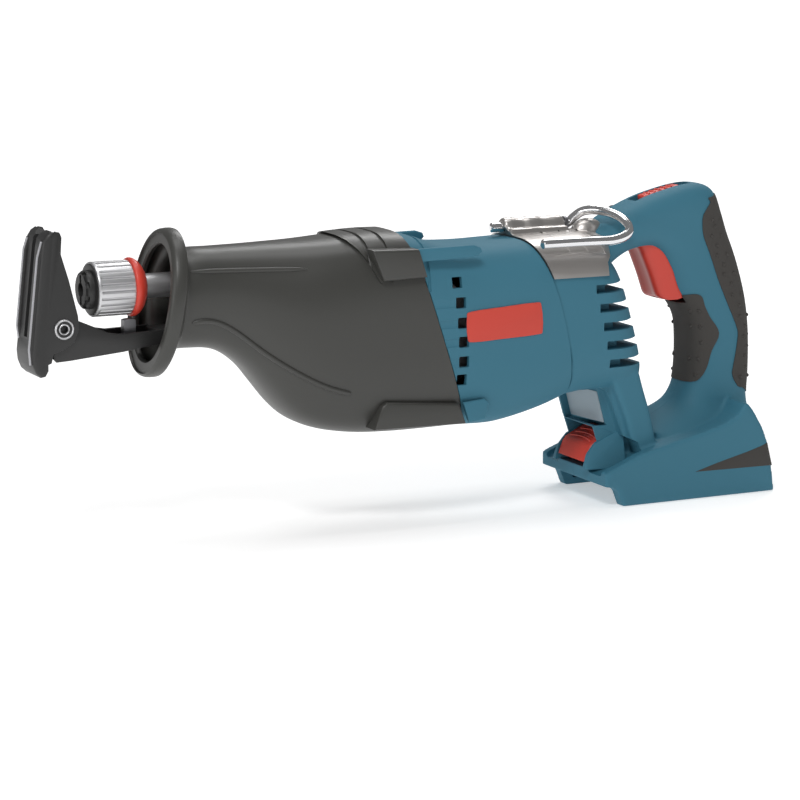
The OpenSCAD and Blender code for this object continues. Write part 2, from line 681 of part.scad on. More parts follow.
// The D-shaped handle with every face moved in by d
edge_step = 5;       // the grip's edges are stepped in by this much
module handle_form(d) {
  for (step = [0, edge_step]) difference() {
    w = grip_half_w - d - (step > 0 ? 0 : edge_step);
    side_plate(inset(handle_line, d + step), -w, w);
    side_plate(inset(hand_hole, -d - step), -grip_half_w, grip_half_w);
  }
}
module tail_form(d) {
  intersection() {
    block(inset(tail_line, d), body_half_w - 2 - d, -77.5 + d, tail_top - d, 6, 250, 345);
    translate([0, 0, -100]) linear_extrude(140) polygon(inset(tail_plan, d));
  }
}
plate_half_w = 16.5;
// Floor of the data plate's shallow recess in the strut's sloping front
function plate_x(z) = 309.9 - (z + 79) * 0.32;
side_depth = 5;      // depth of the hollows in the strut's sides
side_recess = [[306, -78], [330, -78], [339, -108], [315, -108]];
module strut_form(d) {
  block(inset(strut_line, d), strut_half_w - d, -130, 0, 3, 290, 360);
}
module foot_form(d) {
  side_plate(inset(foot_line, d), -foot_half_w + d, foot_half_w - d);
}
bay_x0 = foot_x0 + 10;
bay_x1 = foot_x1 - 5;
bay_top = foot_z + 17;
bay_w = foot_half_w - 4;
rail_h = 4;
lip_z = foot_z + 11;  // underside of the lip at the foot's front
rail_w = 4;
// Battery bay in the foot, open below and to the front, with a rail on each side
module battery_bay() {
  translate([foot_x0 - past, -bay_w + rail_w, foot_z - past])
    cube([bay_x1 - foot_x0 + past, 2 * (bay_w - rail_w), rail_h + 2 * past]);
  translate([foot_x0 - past, -bay_w, foot_z + rail_h])
    cube([bay_x1 - foot_x0 + past, 2 * bay_w, lip_z - foot_z - rail_h]);
  translate([bay_x0, -bay_w, foot_z + rail_h])
    cube([bay_x1 - bay_x0, 2 * bay_w, bay_top - foot_z - rail_h]);
}
fin_pitch = 11.3;
module fin_slots() {
  for (i = [0:4]) difference() {
    translate([303 + 2.6 * i, -body_half_w - past, -17.5 - fin_pitch * i])
      cube([50, 2 * body_half_w + 2 * past, 5.6]);
    translate([290, -body_half_w + 8, -90]) cube([34 + 2.6 * i, 2 * body_half_w - 16, 100]);
  }
}
button_w = 33;
module release_mound() {
  block([[307, -126], [310, -119], [317, -109.5], [334, -104], [340, -112], [334, -126]],
    button_w / 2 + 3, -130, -100, 1, 300, 345);
}
trigger_line = [
  [347, 11], [350.5, 2], [354, -6], [357, -14], [360, -22], [362, -27], [366, -28.6], [377, -28.6],
  [384, -26], [387, -8], [383, 8], [378, 17], [374, 24], [366, 26], [361, 24], [358, 15]
];
// Room for the trigger's travel
trigger_room = [
  [344, 14.5], [352, 17.2], [360, 28], [374, 28], [382, 21], [392, 6], [396.5, -10], [397, -29],
  [386, -31.6], [374, -31.8], [340, -31.8], [335, 0]
];
core = pad_depth + 3;
module rear_housing_whole() {
  difference() {
    union() {
      tail_form(0);
      strut_form(0);
      handle_form(0);
      foot_form(0);
      release_mound();
    }
    // Hollow inside
    difference() {
      handle_form(core);
      translate([300, -20, -140]) cube([20, 40, 200]);
    }
    difference() {
      tail_form(shell_wall);
      translate([330, -60, -90]) cube([30, 120, 120]);
    }
    // Open towards the motor housing
    translate([262, -body_half_w + 8, -78]) cube([34, 2 * body_half_w - 16, 88]);
    strut_form(shell_wall + 2);
    // Grip pads, trigger and slider
    pad_recess(rear_pad);
    pad_recess(front_pad);
    side_plate(trigger_room, -trigger_w / 2 - slide_fit, trigger_w / 2 + slide_fit);
    slider_slot();
    hand_gap_cut();
    fin_slots();
    battery_bay();
    release_well();
    inlay_recess();
    side_plate(side_recess, -60, -strut_half_w + side_depth);
    side_plate(side_recess, strut_half_w - side_depth, 60);
    side_plate([[300, -79], [plate_x(-79), -79], [plate_x(-100), -100], [300, -100]],
      -plate_half_w, plate_half_w);
    y_cyl(-8, 8, 2, trigger_px, trigger_pz);
    for (p = housing_screw_spots) y_cyl(-60, 60, 2, p[0], p[1]);
    for (p = housing_screw_spots) y_cyl(p[2] - 3, 60, 3.8, p[0], p[1]);
  }
}
// Keeps the hand gap open where the strut and tail reach into it
module hand_gap_cut() {
  side_plate(hand_hole, -60, 60);
}
module pad_recess(outline) {
  difference() {
    side_plate(outline, -grip_half_w - past, grip_half_w + past);
    handle_form(pad_depth);
  }
}
module pad(outline) {
  intersection() {
    difference() {
      handle_form(0);
      handle_form(pad_depth);
    }
    side_plate(inset(outline, gap), -grip_half_w - past, grip_half_w + past);
  }
}
// Screw places: x, z and the height of the head's seat on the right side
housing_screw_spots = [[392, 33, 15], [404, -60, 15], [300, -74, 33], [344, 25, 15], [415, -108, 33]];
module rear_housing_half(side) {
  color([0.1, 0.35, 0.45]) intersection() {
    rear_housing_whole();
    translate([240, side > 0 ? 0 : -100, -200]) cube([260, 100, 260]);
  }
}
module housing_screws() {
  color("silver") for (p = housing_screw_spots) {
    y_cyl(p[2] - 22, p[2] - 3, 2, p[0], p[1]);
    difference() {
      y_cyl(p[2] - 3, p[2] - 0.5, 3.6, p[0], p[1]);
      y_cyl(p[2] - 2, p[2], 1.5, p[0], p[1], $fn = 6);
    }
  }
}
module rear_grip() { color([0.23, 0.22, 0.21]) pad(rear_pad); }
module front_grip() { color([0.23, 0.22, 0.21]) pad(front_pad); }

inlay_line = [[372, -130.5], [424.5, -118.8], [foot_x1 + 2, -118.8], [foot_x1 + 2, -132.5]];
module inlay_recess() {
  for (s = [-1, 1]) side_plate(inlay_line, s > 0 ? foot_half_w - 1.6 : -foot_half_w - past,
    s > 0 ? foot_half_w + past : -foot_half_w + 1.6);
}
module foot_inlays() {
  color([0.2, 0.19, 0.18]) for (s = [-1, 1]) intersection() {
    side_plate(inset(inlay_line, gap), s > 0 ? foot_half_w - 1.6 : -foot_half_w,
      s > 0 ? foot_half_w : -foot_half_w + 1.6);
    foot_form(0);
  }
}
module data_plate() {
  color([0.6, 0.6, 0.6]) side_plate([[plate_x(-80) - 0.5, -80], [plate_x(-80), -80],
    [plate_x(-99), -99], [plate_x(-99) - 0.5, -99]], -plate_half_w + 1, plate_half_w - 1);
}
module side_badge() {
  color([0.8, 0.15, 0.1]) for (s = [-1, 1])
    side_plate([[222, -22], [262, -22], [262, -38], [222, -38]],
      s > 0 ? body_half_w : -body_half_w - 0.6, s > 0 ? body_half_w + 0.6 : -body_half_w);
}

// ---- Top cover and hook ----

cover_side = [
  [split_x + 19 * -split_lean + gap - 9.3, 19], [282, 21], [300, 19.6],
  [303.5, 15], [312, 15], [317, 21.5], [321, 23.2], [325, 20.5], [327, 14], [318, 8],
  [312, 1.6], [311, -6.5], [split_x + 6.5 * -split_lean + gap, -6.5]
];
cover_section = [
  [-body_half_w, -40], [body_half_w, -40], [body_half_w, 5], [body_half_w - 4, 9.5], [14, 15.5],
  [6.5, 18], [5.5, 24], [-5.5, 24], [-6.5, 18], [-14, 15.5], [-body_half_w + 4, 9.5], [-body_half_w, 5]
];
module top_cover() {
  w = body_half_w;
  color([0.65, 0.63, 0.6]) difference() {
    union() {
      difference() {
        intersection() {
          side_plate(cover_side, -w - past, w + past);
          end_bar(cover_section, 255, 330);
        }
        end_bar(inset(cover_section, 2 - gap), 240, 340);
        side_plate(inset(handle_line, -gap), -grip_half_w - gap, grip_half_w + gap);
      }
      x_cyl(tube_x0, tube_x1, 5.6, hook_y, hook_z);
    }
    x_cyl(hook_x0, 340, hook_r + run_fit, hook_y, hook_z);
  }
}
tube_x0 = 262;       // the hook's tube
tube_x1 = 304;
hook_x0 = 255;       // front end of the hook's rod
hook_path = [
  [306, hook_y, hook_z], [310, 5, 21.3], [315, 5, 25], [321, 3, 28.4], [327, -3, 29.4],
  [330.5, -11, 28.2], [332.5, -20, 24.5], [334, -28, 19.6], [331, -34, 16.4], [325, -37.4, 15],
  [317, -38.4, 14.8], [292, -38.6, 14.8], [266, -38.6, 14.8]
];
// Round rod swept along a path of points
module rod(path, r, sides) {
  n = len(path);
  rings = [
    for (k = [0:n - 1])
      let (d = path[min(k + 1, n - 1)] - path[max(k - 1, 0)], u = d / norm(d),
        s = cross(u, [0, 0, 1]), v = s / norm(s), w = cross(v, u))
      [for (i = [0:sides - 1]) path[k] + r * (cos(i * 360 / sides) * v + sin(i * 360 / sides) * w)]
  ];
  solid_loft(rings);
}
module rafter_hook() {
  color([0.8, 0.8, 0.8]) {
    x_cyl(hook_x0, tube_x1 + 3, hook_r, hook_y, hook_z);
    rod(hook_path, hook_r - 0.05, 16);
  }
}
module hook_clip() {
  color([0.2, 0.2, 0.2]) difference() {
    x_cyl(tube_x1 + 0.3, tube_x1 + 2, hook_r + 1.6, hook_y, hook_z);
    x_cyl(tube_x1 - past, tube_x1 + 4, hook_r, hook_y, hook_z);
  }
}

// ---- Controls ----

module trigger() {
  color([0.85, 0.2, 0.12]) difference() {
    side_plate(trigger_line, -trigger_w / 2, trigger_w / 2);
    y_cyl(-trigger_w, trigger_w, 2 + run_fit, trigger_px, trigger_pz);
    // Finger hollow, with a ridge along each side
    side_plate([[340, 4], [356, 1], [358.5, -10], [361, -22], [350, -30]],
      -trigger_w / 2 + 7, trigger_w / 2 - 7);
    // Hollow back, open to the switch
    side_plate([[372, 14], [392, 14], [400, -32], [369, -26], [365, -2]], -trigger_w / 2 + 2.5,
      trigger_w / 2 - 2.5);
  }
}
module switch_body() {
  color([0.15, 0.15, 0.16]) {
    side_plate([[401.5, 12], [407, 6], [416, -19], [414, -28], [400, -28], [399.5, 0]], -5, 5);
    y_cyl(-trigger_w / 2 + 1, trigger_w / 2 - 1, 2, trigger_px, trigger_pz);
  }
}
module trigger_spring() {
  color("silver") translate([0, 0, -12]) ring_spring(375, 399, 3.2, 0.5, 8);
}
slider_x0 = 356;
slider_z = 32;
slider_len = 26;
slider_w = 9;
slider_travel = 5;
slider_tilt = 13.2;
module slider_slot() {
  translate([slider_x0, 0, slider_z]) rotate([0, -slider_tilt, 0])
    translate([-slider_travel - 1, -slider_w / 2 - slide_fit, -1.4])
      cube([slider_len + slider_travel + 2, slider_w + 2 * slide_fit, 12]);
}
module lock_slider() {
  color([0.85, 0.2, 0.12]) translate([slider_x0, 0, slider_z]) rotate([0, -slider_tilt, 0]) difference() {
    translate([0, -slider_w / 2, -1.1]) cube([slider_len, slider_w, 4.6]);
    translate([-1, -slider_w / 2 - 1, 3.6]) rotate([0, 40, 0]) cube([6, slider_w + 2, 3]);
  }
}
button_face = [[310, -123], [313, -114], [327, -107.2], [332, -107.2], [332, -123]];
button_travel = 3;
module release_button() {
  w = button_w / 2;
  color([0.85, 0.2, 0.12]) difference() {
    side_plate(button_face, -w, w);
    for (i = [0:3]) translate([316 + 3.6 * i, -w - past, -112.3 + 1.9 * i]) rotate([0, -27, 0])
      cube([1.2, 2 * w + 2 * past, 4]);
    translate([316, -w + 4, -125]) cube([20, 2 * w - 8, 10]);
  }
}
module release_well() {
  side_plate([[302, -123.4 - button_travel], [302, -106], [327, -100], [332.6, -100],
    [332.6, -123.4 - button_travel]], -button_w / 2 - slide_fit, button_w / 2 + slide_fit);
}
module release_spring() {
  color("silver") translate([324, 0, -122.5 - button_travel]) for (i = [0:3])
    translate([0, 0, i * 2.2]) rotate_extrude() translate([4, 0]) circle(r = 0.5, $fn = 16);
}
blade_y = [-14, -5, 5, 14];
module terminal_block() {
  color([0.12, 0.12, 0.12]) difference() {
    translate([380, -22, bay_top - 10]) cube([36, 44, 10 - gap]);
    for (y = blade_y) translate([379, y - 1.6, bay_top - 12]) cube([30, 3.2, 9]);
  }
}
module terminal_blades() {
  color([0.8, 0.6, 0.3]) for (y = blade_y)
    translate([386, y - 0.4, bay_top - 9]) cube([22, 0.8, 5.6]);
}
module control_board() {
  color([0.1, 0.35, 0.2]) {
    translate([299, -9, -75.5]) cube([1.6, 18, 20]);
    translate([300.6, -6, -72]) cube([5, 12, 12]);
  }
}

shoe();
shoe_pivot_screw();
shoe_bracket();
bracket_post();
clamp_nose();
clamp_collar();
clamp_ring();
clamp_body();
clamp_pin();
clamp_spring();
plunger();
shaft_seal();
front_bush();
rear_bush();
boot();
gearbox_housing();
gearbox_cover();
gearbox_screws();
layshaft();
drive_gear();
wobble_hub();
wobble_ring();
layshaft_bearings();
pinion();
armature_shaft();
armature_core();
windings();
commutator();
armature_bearings();
fan();
motor_can();
magnets();
brush_holder();
carbon_brushes();
motor_housing();
rear_housing_half(-1);  // rear_housing_left
rear_housing_half(1);  // rear_housing_right
housing_screws();
top_cover();
rafter_hook();
hook_clip();
rear_grip();
front_grip();
foot_inlays();
trigger();
trigger_spring();
switch_body();
lock_slider();
release_button();
release_spring();
terminal_block();
terminal_blades();
control_board();
data_plate();
side_badge();
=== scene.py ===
"""Cordless reciprocating saw: outer pieces, finishes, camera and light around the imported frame."""
import json
import math

import bmesh
import bpy
from bpy.props import FloatProperty, FloatVectorProperty, IntProperty, PointerProperty
from mathutils import Matrix, Vector
from mathutils.bvhtree import BVHTree


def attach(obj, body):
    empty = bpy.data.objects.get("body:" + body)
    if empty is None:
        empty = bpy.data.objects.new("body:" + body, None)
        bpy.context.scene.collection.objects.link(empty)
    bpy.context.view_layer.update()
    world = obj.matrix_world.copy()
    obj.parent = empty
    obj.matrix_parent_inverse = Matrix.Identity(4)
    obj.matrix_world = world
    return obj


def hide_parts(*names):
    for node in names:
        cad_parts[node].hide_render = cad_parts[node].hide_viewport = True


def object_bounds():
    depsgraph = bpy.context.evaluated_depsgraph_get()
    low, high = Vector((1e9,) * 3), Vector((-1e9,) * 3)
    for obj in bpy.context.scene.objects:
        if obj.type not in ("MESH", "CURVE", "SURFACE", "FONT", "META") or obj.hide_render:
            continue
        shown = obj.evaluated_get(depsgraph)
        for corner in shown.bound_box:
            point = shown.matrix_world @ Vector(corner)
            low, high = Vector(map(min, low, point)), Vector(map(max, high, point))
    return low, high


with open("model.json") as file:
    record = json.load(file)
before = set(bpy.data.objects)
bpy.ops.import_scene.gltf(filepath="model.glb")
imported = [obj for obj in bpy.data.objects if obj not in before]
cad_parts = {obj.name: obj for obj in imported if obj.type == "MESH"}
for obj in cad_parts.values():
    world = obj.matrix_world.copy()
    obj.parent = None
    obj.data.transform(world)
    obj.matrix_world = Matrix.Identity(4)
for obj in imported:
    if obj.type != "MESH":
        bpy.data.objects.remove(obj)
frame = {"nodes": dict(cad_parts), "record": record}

bl_info = {
    "name": "Reciprocating saw",
    "version": (1, 0, 0),
    "blender": (4, 5, 0),
    "location": "3D View > Sidebar > Saw",
    "description": "Builds the outer pieces and finishes of a cordless reciprocating saw",
    "category": "Object",
}

MM = 0.001
SAME = 1e-6
CAD_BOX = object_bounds()


def size(name, text, default, low, high):
    return FloatProperty(name=name, description=text, default=default, min=low, max=high)


def tint(name, text, default):
    return FloatVectorProperty(name=name, description=text, default=default, size=3, subtype="COLOR")


class SawSizes(bpy.types.PropertyGroup):
    """Sizes in millimetres."""
    boot_wall: size("Boot wall", "Thickness of the rubber boot in mm", 3.0, 2, 4)
    shell_wall: size("Shell wall", "Thickness of the blue shells in mm", 3.0, 2, 4)
    grip_proud: size("Grip pad height", "How far a grip pad stands out of the shell in mm", 0.55, 0.2, 1.5)
    dot_radius: size("Grip dot radius", "Radius of a raised dot on the grips in mm", 1.2, 0.5, 1.5)
    hook_radius: size("Hook radius", "Radius of the hook's rod in mm", 2.85, 2, 3.2)
    collar_radius: size("Collar radius", "Radius of the blade clamp's collar in mm", 15.5, 14, 16)
    flutes: IntProperty(name="Flutes", description="Flutes round the collar", default=24, min=12, max=40)
    voxel: size("Casting grain", "Cell size that blends a moulded shell's forms in mm", 1.15, 0.8, 3)


class SawColours(bpy.types.PropertyGroup):
    """Base colours of the finishes."""
    blue: tint("Housing blue", "Moulded shells", (0.018, 0.095, 0.140))
    boot: tint("Boot grey", "Rubber boot", (0.020, 0.019, 0.018))
    grip: tint("Grip grey", "Soft grips", (0.034, 0.029, 0.026))
    red: tint("Control red", "Trigger, buttons and clamp ring", (0.72, 0.030, 0.010))
    cast: tint("Cast metal", "Top cover", (0.60, 0.575, 0.56))
    steel: tint("Bright steel", "Collar, plunger and hook", (0.68, 0.68, 0.69))
    black: tint("Black steel", "Shoe and its bracket", (0.005, 0.005, 0.005))
    floor: tint("Floor", "Studio floor", (0.86, 0.86, 0.86))


def sizes():
    return bpy.context.scene.saw_sizes


def colours():
    return bpy.context.scene.saw_colours


# ---- Node groups shared by the finishes ----

def node_group(name, inputs, outputs):
    """An empty shader group with float inputs and the given outputs."""
    group = bpy.data.node_groups.new(name, "ShaderNodeTree")
    for label, value in inputs:
        socket = group.interface.new_socket(label, in_out="INPUT", socket_type="NodeSocketFloat")
        socket.default_value = value
    for label in outputs:
        group.interface.new_socket(label, in_out="OUTPUT", socket_type="NodeSocketFloat")
    return group, group.nodes.new("NodeGroupInput"), group.nodes.new("NodeGroupOutput")


def noise(tree, vector, scale, detail=3.0, rough=0.55):
    """A noise texture whose scale is a number or a socket."""
    tex = tree.nodes.new("ShaderNodeTexNoise")
    tex.inputs["Detail"].default_value = detail
    tex.inputs["Roughness"].default_value = rough
    tree.links.new(vector, tex.inputs["Vector"])
    if isinstance(scale, (int, float)):
        tex.inputs["Scale"].default_value = scale
    else:
        tree.links.new(scale, tex.inputs["Scale"])
    return tex.outputs["Fac"]


def math_node(tree, kind, a, b, clamp=False):
    """A math node on two sockets or numbers."""
    node = tree.nodes.new("ShaderNodeMath")
    node.operation = kind
    node.use_clamp = clamp
    for socket, value in zip(node.inputs, (a, b)):
        if isinstance(value, (int, float)):
            socket.default_value = value
        else:
            tree.links.new(value, socket)
    return node.outputs[0]


def build_grain_group():
    """Moulded or cast surface: fine grain height, with soft large-scale variation."""
    group, enter, leave = node_group("Surface grain", [("Scale", 900.0), ("Streak", 1.0)],
                                     ["Height", "Variation"])
    place = group.nodes.new("ShaderNodeTexCoord").outputs["Object"]
    stretch = group.nodes.new("ShaderNodeCombineXYZ")
    group.links.new(enter.outputs["Streak"], stretch.inputs["X"])
    stretch.inputs["Y"].default_value = 1.0
    stretch.inputs["Z"].default_value = 1.0
    scaled = group.nodes.new("ShaderNodeVectorMath")
    scaled.operation = "MULTIPLY"
    group.links.new(place, scaled.inputs[0])
    group.links.new(stretch.outputs[0], scaled.inputs[1])
    group.links.new(noise(group, scaled.outputs[0], enter.outputs["Scale"]), leave.inputs["Height"])
    group.links.new(noise(group, place, 28.0, 4.0), leave.inputs["Variation"])
    return group


def build_wear_group():
    """Edge wear: a mask on convex edges, broken up by noise."""
    group, enter, leave = node_group("Edge wear", [("Reach", 0.53), ("Amount", 1.0)], ["Mask"])
    place = group.nodes.new("ShaderNodeTexCoord").outputs["Object"]
    geometry = group.nodes.new("ShaderNodeNewGeometry")
    edge = math_node(group, "SUBTRACT", geometry.outputs["Pointiness"], enter.outputs["Reach"])
    sharp = math_node(group, "MULTIPLY", edge, 14.0, clamp=True)
    broken = math_node(group, "MULTIPLY", sharp, noise(group, place, 160.0, 5.0))
    group.links.new(math_node(group, "MULTIPLY", broken, enter.outputs["Amount"], clamp=True),
                    leave.inputs["Mask"])
    return group


def use_group(tree, name, **values):
    node = tree.nodes.new("ShaderNodeGroup")
    node.node_tree = bpy.data.node_groups[name]
    for label, value in values.items():
        node.inputs[label].default_value = value
    return node


def finish(name, colour, rough, metallic=0.0, grain=900.0, depth=0.12, spread=0.10, streak=1.0,
           shade=0.12, wear=None, coat=0.0, sheen=0.0, shine=0.5):
    """A finish: colour and roughness varied over the surface, grain as bump, worn edges if asked."""
    material = bpy.data.materials.new(name)
    material.use_nodes = True
    tree = material.node_tree
    shader = tree.nodes["Principled BSDF"]
    shader.inputs["Metallic"].default_value = metallic
    shader.inputs["Specular IOR Level"].default_value = shine
    shader.inputs["Coat Weight"].default_value = coat
    shader.inputs["Coat Roughness"].default_value = 0.25
    shader.inputs["Sheen Weight"].default_value = sheen
    surface = use_group(tree, "Surface grain", Scale=grain, Streak=streak)
    ramp = tree.nodes.new("ShaderNodeMix")
    ramp.data_type = "RGBA"
    ramp.inputs["A"].default_value = (*[c * (1.0 - shade) for c in colour], 1.0)
    ramp.inputs["B"].default_value = (*[min(1.0, c * (1.0 + shade)) for c in colour], 1.0)
    tree.links.new(surface.outputs["Variation"], ramp.inputs["Factor"])
    tone = ramp.outputs["Result"]
    level = math_node(tree, "ADD", math_node(tree, "MULTIPLY", surface.outputs["Variation"], spread),
                      rough - spread / 2)
    if wear:
        bare, amount, reach = wear
        mask = use_group(tree, "Edge wear", Reach=reach, Amount=amount).outputs["Mask"]
        worn = tree.nodes.new("ShaderNodeMix")
        worn.data_type = "RGBA"
        worn.inputs["B"].default_value = (*bare, 1.0)
        tree.links.new(mask, worn.inputs["Factor"])
        tree.links.new(tone, worn.inputs["A"])
        tone = worn.outputs["Result"]
    tree.links.new(tone, shader.inputs["Base Color"])
    tree.links.new(level, shader.inputs["Roughness"])
    bump = tree.nodes.new("ShaderNodeBump")
    bump.inputs["Strength"].default_value = depth
    bump.inputs["Distance"].default_value = 0.0004
    tree.links.new(surface.outputs["Height"], bump.inputs["Height"])
    tree.links.new(bump.outputs["Normal"], shader.inputs["Normal"])
    return material


def build_finishes():
    """All finishes, named after the record's material slots."""
    tones = colours()
    finish("blue_plastic", tones.blue, 0.42, grain=1500, depth=0.10, shade=0.06, shine=0.25)
    finish("boot_rubber", tones.boot, 0.40, grain=1300, depth=0.14, spread=0.12, shine=0.35)
    finish("grip_rubber", tones.grip, 0.55, grain=2100, depth=0.30, shine=0.35)
    finish("red_plastic", tones.red, 0.38, grain=1500, depth=0.06, shade=0.06, shine=0.25)
    finish("cast_metal", tones.cast, 0.52, 0.0, grain=850, depth=0.40, shade=0.08, spread=0.16)
    finish("bright_steel", tones.steel, 0.22, 1.0, grain=700, depth=0.12, streak=0.05, spread=0.12)
    finish("polished_rod", tones.steel, 0.13, 1.0, grain=500, depth=0.05, streak=0.05, spread=0.06)
    finish("black_steel", tones.black, 0.24, 0.0, grain=900, depth=0.08, spread=0.10, shine=0.35,
           wear=((0.30, 0.29, 0.28), 1.3, 0.50))
    finish("dark_steel", (0.05, 0.05, 0.052), 0.36, 0.9, grain=900, depth=0.1)
    finish("spring_steel", (0.45, 0.45, 0.47), 0.3, 1.0, grain=900, depth=0.1)
    finish("gear_casting", (0.42, 0.43, 0.45), 0.5, 0.8, grain=700, depth=0.5)
    finish("bronze", (0.5, 0.33, 0.15), 0.42, 0.9, grain=1600, depth=0.3)
    finish("gear_steel", (0.38, 0.38, 0.4), 0.3, 1.0, grain=900, depth=0.1)
    finish("motor_steel", (0.33, 0.33, 0.35), 0.38, 0.9, grain=600, depth=0.2)
    finish("ferrite", (0.06, 0.06, 0.065), 0.6, 0.2, grain=900, depth=0.3)
    finish("copper", (0.55, 0.24, 0.11), 0.34, 0.9, grain=1500, depth=0.4, streak=0.1)
    finish("black_plastic", (0.018, 0.018, 0.019), 0.45, grain=1500, depth=0.12)
    finish("carbon", (0.012, 0.012, 0.012), 0.6, grain=1800, depth=0.3)
    finish("contact_brass", (0.6, 0.43, 0.18), 0.28, 1.0, grain=900, depth=0.1)
    finish("board_green", (0.02, 0.13, 0.06), 0.35, grain=400, depth=0.2, coat=0.3)
    finish("plate_grey", (0.20, 0.29, 0.35), 0.34, grain=300, depth=0.03, shade=0.05)
    finish("badge_red", (0.55, 0.030, 0.016), 0.4, grain=1500, depth=0.05, shine=0.2)
    finish("seal_rubber", (0.012, 0.012, 0.012), 0.5, grain=1500, depth=0.2)


# ---- Mesh helpers, all in millimetres ----

def squared(value, power):
    return math.copysign(abs(value) ** (2.0 / power), value)


def ring(bm, place, segments):
    """A closed loop of edges: place turns a point of the unit circle into millimetres."""
    verts = bmesh.ops.create_circle(bm, segments=segments, radius=1.0)["verts"]
    edges = list(edges_of(verts))
    for v in verts:
        v.co = place(v.co.x, v.co.y)
    return edges


def bridge(bm, loops):
    for near, far in zip(loops, loops[1:]):
        bmesh.ops.bridge_loops(bm, edges=near + far)


def loft(bm, places, segments=48, caps=(True, True)):
    """Skin through a row of rings."""
    loops = [ring(bm, place, segments) for place in places]
    bridge(bm, loops)
    for wanted, loop in zip(caps, (loops[0], loops[-1])):
        if wanted:
            bmesh.ops.contextual_create(bm, geom=loop)


def smooth_row(rows, steps):
    """Rows of numbers made finer along a smooth curve through them."""
    fine = []
    for k in range(len(rows) - 1):
        a, b = rows[max(k - 1, 0)], rows[k]
        c, d = rows[k + 1], rows[min(k + 2, len(rows) - 1)]
        for s in range(steps):
            t = s / steps
            fine.append([
                0.5 * (2 * q + (r - p) * t + (2 * p - 5 * q + 4 * r - u) * t ** 2
                       + (3 * q - p - 3 * r + u) * t ** 3)
                for p, q, r, u in zip(a, b, c, d)])
    fine.append(list(rows[-1]))
    return fine


def closed_curve(points, steps=4):
    """A smooth closed outline through the points."""
    count = len(points)
    wrapped = [points[(k - 1) % count] for k in range(count + 3)]
    return [tuple(p) for p in smooth_row(wrapped, steps)[steps:steps * (count + 1)]]


def prism(bm, points, shift):
    """Extrudes a flat outline and gives back its points."""
    before = set(bm.verts)
    face = bm.faces.new([bm.verts.new(p) for p in points])
    out = bmesh.ops.extrude_face_region(bm, geom=[face])
    moved = [g for g in out["geom"] if isinstance(g, bmesh.types.BMVert)]
    bmesh.ops.translate(bm, verts=moved, vec=shift)
    return [v for v in bm.verts if v not in before]


def edges_of(verts):
    return {e for v in verts for e in v.link_edges}


def plate(bm, outline, y0, y1, bevel=0.0, segments=3):
    """A plate of an XZ outline between two Y, with rounded rims."""
    before = set(bm.verts)
    own = prism(bm, [(x, y0, z) for x, z in outline], (0, y1 - y0, 0))
    if bevel:
        rims = [e for e in edges_of(own) if abs(e.verts[0].co.y - e.verts[1].co.y) < SAME]
        round_edges(bm, rims, bevel, segments)
    return [v for v in bm.verts if v not in before]


def both_sides(bm, outline, near, far, bevel=0.0, segments=3):
    """The same plate at either side of the tool, between two distances from its middle."""
    for side in (-1, 1):
        plate(bm, outline, *sorted((side * near, side * far)), bevel, segments)


def round_edges(bm, edges, width, segments=3):
    bmesh.ops.bevel(bm, geom=edges, offset=width, segments=segments, profile=0.5, affect="EDGES",
                    material=-1, clamp_overlap=True)


def block(bm, low, high, bevel=0.0, segments=2):
    """A box between two corners with rounded edges."""
    before = set(bm.verts)
    centre = [(a + b) / 2 for a, b in zip(low, high)]
    spans = [b - a for a, b in zip(low, high)]
    made = bmesh.ops.create_cube(bm, size=1.0)
    bmesh.ops.scale(bm, verts=made["verts"], vec=spans)
    bmesh.ops.translate(bm, verts=made["verts"], vec=centre)
    if bevel:
        round_edges(bm, list(edges_of(made["verts"])), bevel, segments)
    return [v for v in bm.verts if v not in before]


def slab(bm, outline, z0, z1, bevel=0.0):
    """A plate of an XY outline between two Z."""
    own = prism(bm, [(x, y, z0) for x, y in outline], (0, 0, z1 - z0))
    if bevel:
        round_edges(bm, list(edges_of(own)), bevel, 2)


def turn(bm, verts, angle, axis, centre=(0, 0, 0)):
    bmesh.ops.rotate(bm, verts=verts, cent=centre, matrix=Matrix.Rotation(angle, 3, axis))


def rod_y(bm, x, z, y0, y1, radius, segments=32):
    """A cylinder along Y."""
    made = bmesh.ops.create_cone(bm, cap_ends=True, segments=segments, radius1=radius, radius2=radius,
                                 depth=y1 - y0)
    turn(bm, made["verts"], math.pi / 2, "X")
    bmesh.ops.translate(bm, verts=made["verts"], vec=(x, (y0 + y1) / 2, z))


def rod_x(bm, x0, x1, radius, y=0.0, z=0.0, segments=48):
    """A cylinder along X."""
    made = bmesh.ops.create_cone(bm, cap_ends=True, segments=segments, radius1=radius, radius2=radius,
                                 depth=x1 - x0)
    turn(bm, made["verts"], math.pi / 2, "Y")
    bmesh.ops.translate(bm, verts=made["verts"], vec=((x0 + x1) / 2, y, z))


def spun(bm, points, centre, axis, segments):
    """A closed profile spun once round an axis."""
    verts = [bm.verts.new(p) for p in points]
    edges = [bm.edges.new(pair) for pair in zip(verts, verts[1:] + verts[:1])]
    bmesh.ops.spin(bm, geom=verts + edges, cent=centre, axis=axis, angle=2 * math.pi, steps=segments,
                   use_merge=True)


def turned(bm, profile, centre=(0, 0), segments=64):
    """A body of revolution about X from (x, radius) points."""
    spun(bm, [(x, centre[0], centre[1] + r) for x, r in profile], (0, *centre), (1, 0, 0), segments)
    bmesh.ops.remove_doubles(bm, verts=bm.verts, dist=0.001)


